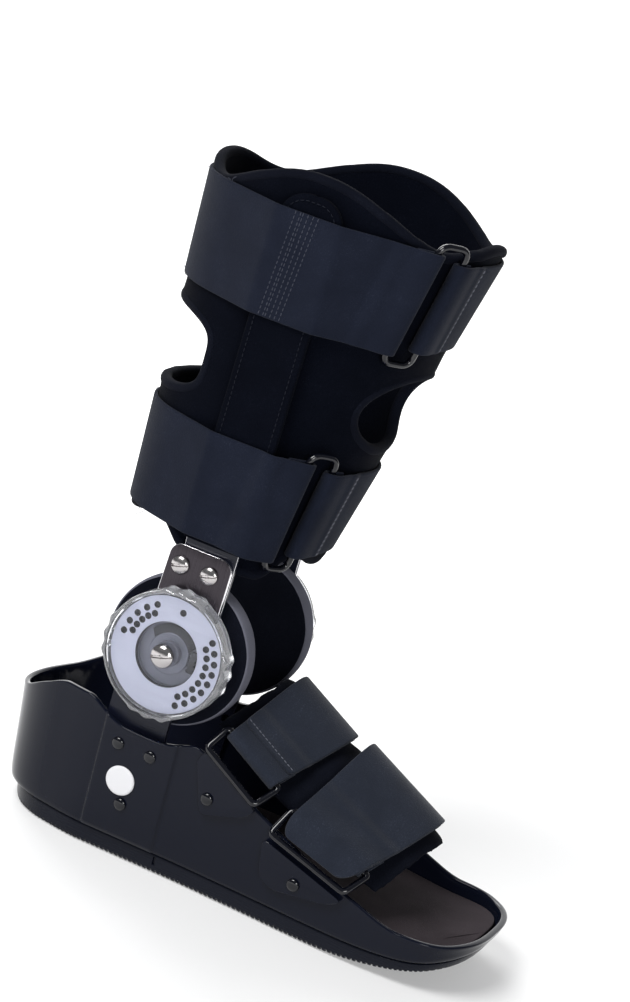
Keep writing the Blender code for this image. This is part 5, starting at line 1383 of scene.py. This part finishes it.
def section_points(height, turns):
    """Points of the tight line round the wrap and the pockets at angles from the front."""
    centre = np.array([0.0, along(leg_shape(height)[0])])
    oval = wrap_section(height, np.linspace(0, math.tau, 180, endpoint=False))
    line = hull(np.concatenate([oval, pocket_corners(height)])) - centre
    step = np.roll(line, -1, axis=0) - line
    normal = np.c_[step[:, 1], -step[:, 0]]
    ray = np.c_[-np.sin(turns), -np.cos(turns)]
    facing = ray @ normal.T
    reach = (normal * line).sum(axis=1) / np.where(facing > 1e-9, facing, np.nan)
    return centre + ray * np.nanmin(reach, axis=1)[:, None]


def calf_path(level, ring_turn, far_turn, towards, count):
    """Where a strap or keeper runs at one level, from its fold on a ring bar round to its far end."""
    radius, low = RING_WIRE + RING_CLEAR + STRAP_THICKNESS / 2, GAP + STRAP_THICKNESS / 2
    layer = STRAP_THICKNESS + GAP
    mean = sum(leg_shape(level)[1:]) / 2
    bar_turn, fold = ring_turn + towards * RING_WIDTH / 2 / mean, FOLD_LENGTH / mean
    run = np.linspace(bar_turn, far_turn, count)
    away = np.abs(run - bar_turn)
    rise = low + 2 * radius + (layer - 2 * radius) * ease(away / fold)
    lift = np.where(away < fold, rise, low + layer * (1 - ease((away - fold) / (0.6 * fold))))
    hem = np.linspace(0.62, 0.0, HEM_COUNT)
    turns = np.r_[bar_turn + towards * fold * hem, np.full(len(BEND), bar_turn), run]
    out = np.r_[np.full(HEM_COUNT, low), low + radius + radius * np.sin(BEND), lift]
    shift = np.r_[np.zeros(HEM_COUNT), -towards * radius * np.cos(BEND), np.zeros(count)]
    points = section_points(level, turns)
    tangent = units(section_points(level, turns + 0.02) - section_points(level, turns - 0.02))
    normal = np.c_[-tangent[:, 1], tangent[:, 0]]
    normal *= np.sign(((points - (0.0, along(leg_shape(level)[0]))) * normal).sum(axis=1))[:, None]
    flat = points + tangent * shift[:, None] + normal * out[:, None]
    return np.c_[flat, np.full(len(flat), level)]


# %% Calf straps, rings and keepers
def calf_lines(height, width, ring_turn, far_turn, towards, count):
    """The middle surface of a calf strap or keeper, with its rise."""
    places, rise = across_places(width)
    levels = height + places * width / 2
    return np.stack([calf_path(level, ring_turn, far_turn, towards, count) for level in levels]), rise


far = math.radians(318.0)
calf_surfaces = {}
for level_name, height, angle in (("upper", UPPER_HEIGHT, 33.0), ("lower", LOWER_HEIGHT, 43.0)):
    turn, bars = math.radians(angle), []
    parts = (
        ("ring_keeper", KEEPER_WIDTH, far - math.tau + math.radians(1.0), -1, 90),
        ("calf_strap", STRAP_WIDTH, far, 1, 260),
    )
    for label, width, far_turn, towards, count in parts:
        lines, rise = calf_lines(height, width, turn, far_turn, towards, count)
        calf_surfaces[level_name, label] = lines
        tape = ribbon_piece(f"tape_{level_name}_{label}", lines, rise)
        dress(tape, "leg", [webbing], [f"{level_name}_{label}"])
        ends = (lines[[0, -1], HEM_COUNT - 1] + lines[[0, -1], HEM_COUNT + len(BEND)]) / 2
        along_bar = (ends[1] - ends[0]) / width
        reach = (STRAP_WIDTH - width) / 2 + RING_OVERHANG
        bars.append((ends[0] - along_bar * reach, ends[1] + along_bar * reach))
    ring = loop_piece(f"wire_{level_name}_ring", bars, RING_WIRE, 0.0052)
    dress(ring, "leg", [loop_gloss], [level_name + "_ring"])
print("calf strap surface", calf_surfaces["upper", "calf_strap"].shape)

# %% [markdown]
# The calf wrap is four millimetres of padded loop cloth: two bands round the leg, joined at both sides
# between a front and a rear window. Its edges are tables of height by angle, and each window is a
# superellipse in angle and height. Where no strap holds it down the padding stands a little proud, so the
# surface is pushed out there. A cloth simulation isn't used: the wrap is thin, sewn flat and held tight, so
# its form comes from its pattern.

# %% Calf wrap
WRAP_TOP = ((0, 0.964), (35, 0.946), (90, 1.000), (140, 0.950), (180, 0.972))
WRAP_BOTTOM = (
    (0, 0.4700), (28, 0.4830), (52, 0.4447), (92, 0.4507), (112, 0.4830), (150, 0.4709), (180, 0.4608),
)
# half angle, height of the middle and half height as shares of the wrap's height, power
FRONT_WINDOW, REAR_WINDOW = (37.0, 0.7093, 0.0548, 2.0), (66.0, 0.7112, 0.0569, 4.0)
BAND_ROWS, PLUMPNESS = 26, 0.0009


def free_of_straps(height):
    """1 where no calf strap presses on the wrap, 0 under one."""
    near = np.minimum(np.abs(height - UPPER_HEIGHT), np.abs(height - LOWER_HEIGHT)) - STRAP_WIDTH / 2
    return ease(near / 0.010)


def wrap_surface(turns, heights):
    """Points of the wrap's outside: the leg's section, pushed out by the padding where it is free."""
    turns, heights = np.broadcast_arrays(turns, heights)
    flat = wrap_section(heights, turns)
    waves = 0.5 + 0.25 * np.sin(5 * turns + 60 * heights) + 0.25 * np.sin(9 * turns - 95 * heights + 1.3)
    push = PLUMPNESS * free_of_straps(heights) * waves
    outward = np.stack([-np.sin(turns), -np.cos(turns)], axis=-1)
    return np.concatenate([flat + outward * push[..., None], heights[..., None]], axis=-1)


def wrap_normal(turns, heights):
    """Outward unit vectors of the wrap's outside."""
    round_leg = wrap_surface(turns + 0.004, heights) - wrap_surface(turns - 0.004, heights)
    up_leg = wrap_surface(turns, heights + 0.0004) - wrap_surface(turns, heights - 0.0004)
    return units(np.cross(up_leg, round_leg))


def window(size, away):
    """Half height of a window in the wrap at angles away from its middle."""
    half_angle, _, half_height, power = size
    return WRAP_HEIGHT * half_height * (1 - np.clip(away / half_angle, 0, 1) ** power) ** (1 / power)


tips = np.concatenate([[angle, 360 - angle] for angle in (FRONT_WINDOW[0], 180 - REAR_WINDOW[0])])
close = np.concatenate([tips + step for step in (-1.2, -0.7, -0.35, -0.12, 0.0, 0.12, 0.35, 0.7, 1.2)])
spread = np.linspace(0, 360, 240, endpoint=False)
spread = spread[np.abs(spread[:, None] - tips).min(axis=1) > 1.3]
turns = np.radians(np.sort(np.r_[spread, close]))
degrees = np.degrees(np.minimum(turns, math.tau - turns))
top, bottom = (WRAP_HEIGHT * smooth_curve(rows, degrees) for rows in (WRAP_TOP, WRAP_BOTTOM))
opening = window(FRONT_WINDOW, degrees) + window(REAR_WINDOW, 180 - degrees)
middle = WRAP_HEIGHT * np.where(degrees < 90, FRONT_WINDOW[1], REAR_WINDOW[1])
shares, count = np.linspace(0, 1, BAND_ROWS)[:, None], len(turns)
sill, lintel = middle - opening, middle + opening
heights = np.concatenate([bottom + (sill - bottom) * shares, lintel + (top - lintel) * shares])
points = wrap_surface(turns, heights)
band = quads(BAND_ROWS, count, around=True)
faces = np.concatenate([band, band + BAND_ROWS * count])
order = np.arange(2 * BAND_ROWS * count)
shut = np.flatnonzero(opening < 1e-6)
order[BAND_ROWS * count + shut] = (BAND_ROWS - 1) * count + shut
used, faces = np.unique(order[faces], return_inverse=True)
wrap = mesh_piece("padded_wrap", points.reshape(-1, 3)[used], faces.reshape(-1, 4).tolist(), 60)
wrap.data.flip_normals()
wall = wrap.modifiers.new("padding", "SOLIDIFY")
wall.thickness, wall.offset = WRAP_THICKNESS, -1.0
dress(wrap, "leg", [brushed_cloth], ["calf_wrap"])


def binding_piece(name, turns, heights, towards):
    """Tape folded over an edge of the wrap: an oval section along the edge, set a little inside it."""
    edge, normal = wrap_surface(turns, heights), wrap_normal(turns, heights)
    tangent = units(np.roll(edge, -1, axis=0) - np.roll(edge, 1, axis=0))
    beyond = np.cross(tangent, normal)
    beyond *= np.sign((beyond * (towards - edge)).sum(axis=1))[:, None]
    round_turns = np.linspace(0, math.tau, 20, endpoint=False)[:, None]
    middle = edge - normal * WRAP_THICKNESS / 2 - beyond * 0.0013
    thick = 0.0026 * signed_power(np.cos(round_turns), 0.75)
    wide = 0.0024 * signed_power(np.sin(round_turns), 0.9)
    rings = middle[:, None] + thick * normal[:, None] + wide * beyond[:, None]
    return dress(sweep_piece(name, rings, closed=True, angle=80), "leg", [binding])


edge_turns = np.linspace(0, math.tau, 300, endpoint=False)
edge_degrees = np.degrees(np.minimum(edge_turns, math.tau - edge_turns))
for label, rows, lift in (("top", WRAP_TOP, 1.0), ("bottom", WRAP_BOTTOM, -1.0)):
    heights = WRAP_HEIGHT * smooth_curve(rows, edge_degrees)
    binding_piece("binding_" + label, edge_turns, heights, wrap_surface(edge_turns, heights) + (0, 0, lift))
for label, size, start in (("front", FRONT_WINDOW, 0.0), ("rear", REAR_WINDOW, 180.0)):
    half_angle, share, half_height, power = size
    phase = np.linspace(0, math.tau, 160, endpoint=False)
    side, rise = signed_power(np.cos(phase), 2 / power), signed_power(np.sin(phase), 2 / power)
    window_turns = np.radians(start + half_angle * side)
    heights = WRAP_HEIGHT * (share + half_height * rise)
    target = wrap_surface(np.radians(start + 0.7 * half_angle * side), WRAP_HEIGHT * share)
    binding_piece("binding_window_" + label, window_turns, heights, target)

# %% [markdown]
# Each pocket is a folded cloth channel sewn over an upright, with a round top. Its section is a short list of
# corners, cut round all the way about, and a row of stitches runs inside its edge.


# %% Pockets
def soften_rings(rings, rounds=2):
    """Corner cutting round closed rings of points [station, place round the ring]."""
    for _ in range(rounds):
        after = np.roll(rings, -1, axis=1)
        pairs = np.stack([0.75 * rings + 0.25 * after, 0.25 * rings + 0.75 * after], axis=2)
        rings = pairs.reshape(len(rings), -1, 3)
    return rings


ARCH, SEAM_INSET = 0.0125, 0.0030
round_top = ARCH * (1 - np.sin(np.radians(np.linspace(0, 90, 24))))
drops = np.r_[np.linspace(POCKET_TOP - POCKET_BOTTOM, ARCH + 0.0005, 60), round_top]
levels = POCKET_TOP - drops
narrowing = ARCH * (1 - np.sqrt(1 - np.clip(1 - drops / ARCH, 0, 1) ** 2))
face = bar_inner(levels) + BAR_THICKNESS + GAP
outside, hem, fold = face + POCKET_THICKNESS, BAR_THICKNESS - GAP, POCKET_THICKNESS
back = along(POCKET_BACK + narrowing + bar_lean(levels))
front = along(POCKET_FRONT - narrowing + bar_lean(levels))
corners = (
    (outside - 0.4 * fold, back),
    (outside, back - 1.2 * fold),
    (outside, front + 1.2 * fold),
    (outside - 0.4 * fold, front),
    (face - hem, front),
    (face - hem, front + fold),
    (face, front + fold),
    (face, back - fold),
    (face - hem, back - fold),
    (face - hem, back),
)
section = np.stack([np.stack([x, y, levels], axis=1) for x, y in corners], axis=1)
for side_name, side in SIDES:
    pocket = sweep_piece("pocket_cloth_" + side_name, soften_rings(section) * (side, 1, 1), angle=60)
    dress(pocket, "leg", [brushed_cloth], ["upright_pocket_" + side_name])
    edge = np.r_[np.c_[side * outside, back, levels], np.c_[side * outside, front, levels][::-1]]
    step = np.gradient(edge, axis=0)
    inward = np.c_[np.zeros(len(edge)), step[:, 2], -step[:, 1]] / np.linalg.norm(step, axis=1)[:, None]
    inward *= np.sign(((np.median(edge, axis=0) - edge) * inward).sum(axis=1))[:, None]
    seam = (edge + SEAM_INSET * inward)[2:-2]
    rows = [(seam, np.tile((side, 0.0, 0.0), (len(seam), 1)))]
    stitch_piece("pocket_seam_" + side_name, rows, dark_thread, "leg")

# %% [markdown]
# Sewing shows where a strap is fixed: rows across the upper strap at its side, two across each keeper, and
# one near the free end on the instep. The calf straps are frayed behind, so a few loose threads curl away
# from them. Where each stitch or thread sits is read off the strap's own surface of points.


# %% Seams and loose threads
def seam_row(lines, rows, columns, inside):
    """Points on a strap's outer face along a seam, and the directions away from a place inside it."""
    points, normal = lines[rows, columns], ribbon_normals(lines)[rows, columns]
    normal = normal * np.sign(((points - inside) * normal).sum(axis=1))[:, None]
    return points + normal * STRAP_THICKNESS / 2, normal


upper = calf_surfaces["upper", "calf_strap"]
mid_rows, KEEPER_SEAMS = slice(3, -3), (45, 47)
centre_line = upper[len(upper) // 2]
lateral = np.flatnonzero(centre_line[:, 0] < -0.03)
inside_upper = np.array([0.0, along(UPPER_CENTRE), UPPER_HEIGHT])
rows = []
for ahead in np.linspace(0.0795, 0.0905, 6):
    column = lateral[np.abs(centre_line[lateral, 1] - along(ahead)).argmin()]
    rows.append(seam_row(upper, mid_rows, column, inside_upper))
stitch_piece("strap_seams", rows, thread, "leg", 0.0024, 0.0017)
rows = []
for level_name, height in (("upper", UPPER_HEIGHT), ("lower", LOWER_HEIGHT)):
    keeper = calf_surfaces[level_name, "ring_keeper"]
    for column in KEEPER_SEAMS:
        rows.append(seam_row(keeper, mid_rows, column, np.array([0.0, along(0.08), height])))
stitch_piece("keeper_seams", rows, pale_thread, "leg", 0.0024, 0.0017)
rows = [seam_row(foot_lines["instep"], mid_rows, -7, np.array([0.0, along(0.15), 0.0]))]
stitch_piece("free_end_seams", rows, pale_thread, "foot", 0.0022, 0.0017)

THREADS_PER_EDGE, THREAD_RADIUS = 5, 0.00013
rng = np.random.default_rng(7)
starts, leans = [], []
for level_name, row in (("upper", 0), ("upper", -1), ("lower", 0), ("lower", -1)):
    strap_edge = calf_surfaces[level_name, "calf_strap"][row]
    rear = np.flatnonzero((strap_edge[:, 1] > along(0.055)) & (strap_edge[:, 0] < 0.01))
    chosen = rng.choice(rear, THREADS_PER_EDGE, replace=False)
    starts.append(strap_edge[chosen])
    outwards = rng.normal(-0.5, 0.4, THREADS_PER_EDGE)
    backwards = rng.normal(0.7, 0.3, THREADS_PER_EDGE)
    upwards = (1 if row else -1) * rng.uniform(0.3, 1.0, THREADS_PER_EDGE)
    leans.append(np.c_[outwards, backwards, upwards])
starts, leans = np.concatenate(starts), units(np.concatenate(leans))
reach = rng.uniform(0.0015, 0.0045, len(starts))
bends = rng.normal(0, 0.0014, (len(starts), 3))
t = np.linspace(0, 1, 12)[None, :, None]
path = starts[:, None] + leans[:, None] * reach[:, None, None] * t + bends[:, None] * t**2
run = units(np.gradient(path, axis=1))
side = units(np.cross(run, (0.31, 0.22, 0.92)))
turn = np.linspace(0, math.tau, 6, endpoint=False)[:, None]
wide, deep = np.cos(turn) * side[:, :, None], np.sin(turn) * np.cross(run, side)[:, :, None]
points = path[:, :, None] + THREAD_RADIUS * (wide + deep)
faces = copies(quads(12, 6, around=True), 72, len(starts))
dress(mesh_piece("loose_threads", points, faces, 80), "leg", [thread])
print(len(starts), "loose threads")

# %% [markdown]
# The instep pad is soft foam in cloth, squeezed by the straps and free between them. Its rest shape is a
# bent sheet through three guide lines. A cloth simulation with a little inner pressure then puffs it up, as
# foam springs back, and a cap on how far a point may move is smaller under the straps than beside them.

# %% Instep pad
PAD_RIDGE = ((0.479, 0.983), (0.634, 0.792), (0.861, 0.5510))
PAD_SIDE = ((0.413, 0.7230), (0.575, 0.4700), (0.791, 0.2780))
PAD_DEPTH, PAD_REACH, VOXEL, STEPS = 0.0060, 0.80, 0.0018, 20
FREE_SWELL, HELD_SWELL = 0.0022, 0.0002
across = np.linspace(-1, 1, 61) * SIDE_REACH * PAD_REACH
share = arch_share(across)
guides = []
for (top_ahead, top_up), (side_ahead, side_up) in zip(PAD_RIDGE, PAD_SIDE):
    ahead = FOOT_LENGTH * (top_ahead + share * (side_ahead - top_ahead))
    guides.append(np.c_[across, along(ahead), INSTEP_HEIGHT * (top_up + share * (side_up - top_up))])
rear, middle, fore = guides
u = np.linspace(0, 1, 33)[:, None, None]
sheet = 2 * (u - 0.5) * (u - 1) * rear - 4 * u * (u - 1) * middle + 2 * u * (u - 0.5) * fore
normal = ribbon_normals(sheet)
normal *= np.sign(normal[..., 2])[..., None]
v = np.linspace(-1, 1, 61)[None, :, None]
plump = (1 - np.abs(2 * u - 1) ** 7) ** 0.5 * (1 - np.abs(v) ** 9) ** 0.5
centre = sheet - normal * (STRAP_THICKNESS / 2 + GAP + PAD_DEPTH / 2)
half = (PAD_DEPTH / 2 - 0.0003) * np.clip(plump, 0.5, 1)
rings = np.concatenate([centre + normal * half, (centre - normal * half)[::-1]]).transpose(1, 0, 2)
pad = sweep_piece("soft_instep_pad", rings, angle=80)


def covered(points):
    """1 for points under a foot strap, 0 beside both, by their place along the foot."""
    hidden = np.zeros(len(points))
    for kind, (width, _, _) in FOOT_STRAPS.items():
        back_edge, front_edge = (strap_line(kind, width, place, points[:, 0])[:, 1] for place in (-1.0, 1.0))
        inside = np.minimum(back_edge - points[:, 1], points[:, 1] - front_edge)
        hidden = np.maximum(hidden, ease((inside + 0.003) / 0.005))
    return hidden


remesh = pad.modifiers.new("remesh", "REMESH")
remesh.mode, remesh.voxel_size, remesh.use_smooth_shade = "VOXEL", VOXEL, True
depsgraph = bpy.context.evaluated_depsgraph_get()
body = bpy.data.meshes.new_from_object(pad.evaluated_get(depsgraph))
pad.modifiers.clear()
pad.data = body
before = read_vectors(body.vertices, "co")
soft = pad.modifiers.new("swell", "CLOTH")
soft.settings.use_pressure, soft.settings.uniform_pressure_force = True, 4.0
soft.settings.effector_weights.gravity = 0.0
soft.settings.quality = 5
soft.point_cache.frame_start, soft.point_cache.frame_end = 1, STEPS
for step in range(1, STEPS + 1):
    bpy.context.scene.frame_set(step)
swollen = pad.evaluated_get(bpy.context.evaluated_depsgraph_get())
moved = read_vectors(swollen.data.vertices, "co") - before
size = np.linalg.norm(moved, axis=1)
most = FREE_SWELL - (FREE_SWELL - HELD_SWELL) * covered(before)
capped = before + moved * (np.minimum(size, most) / np.maximum(size, 1e-9))[:, None]
pad.modifiers.clear()
bpy.context.scene.frame_set(1)
body.vertices.foreach_set("co", capped.ravel())
body.update()
relax = pad.modifiers.new("relax", "SMOOTH")
relax.factor, relax.iterations = 0.5, 24
finer = pad.modifiers.new("finer", "SUBSURF")
finer.levels = finer.render_levels = 1
print("pad swelled by up to", round(float(size.max() * 1000), 1), "mm before the cap")
dress(pad, "foot", [velour], ["instep_pad"])
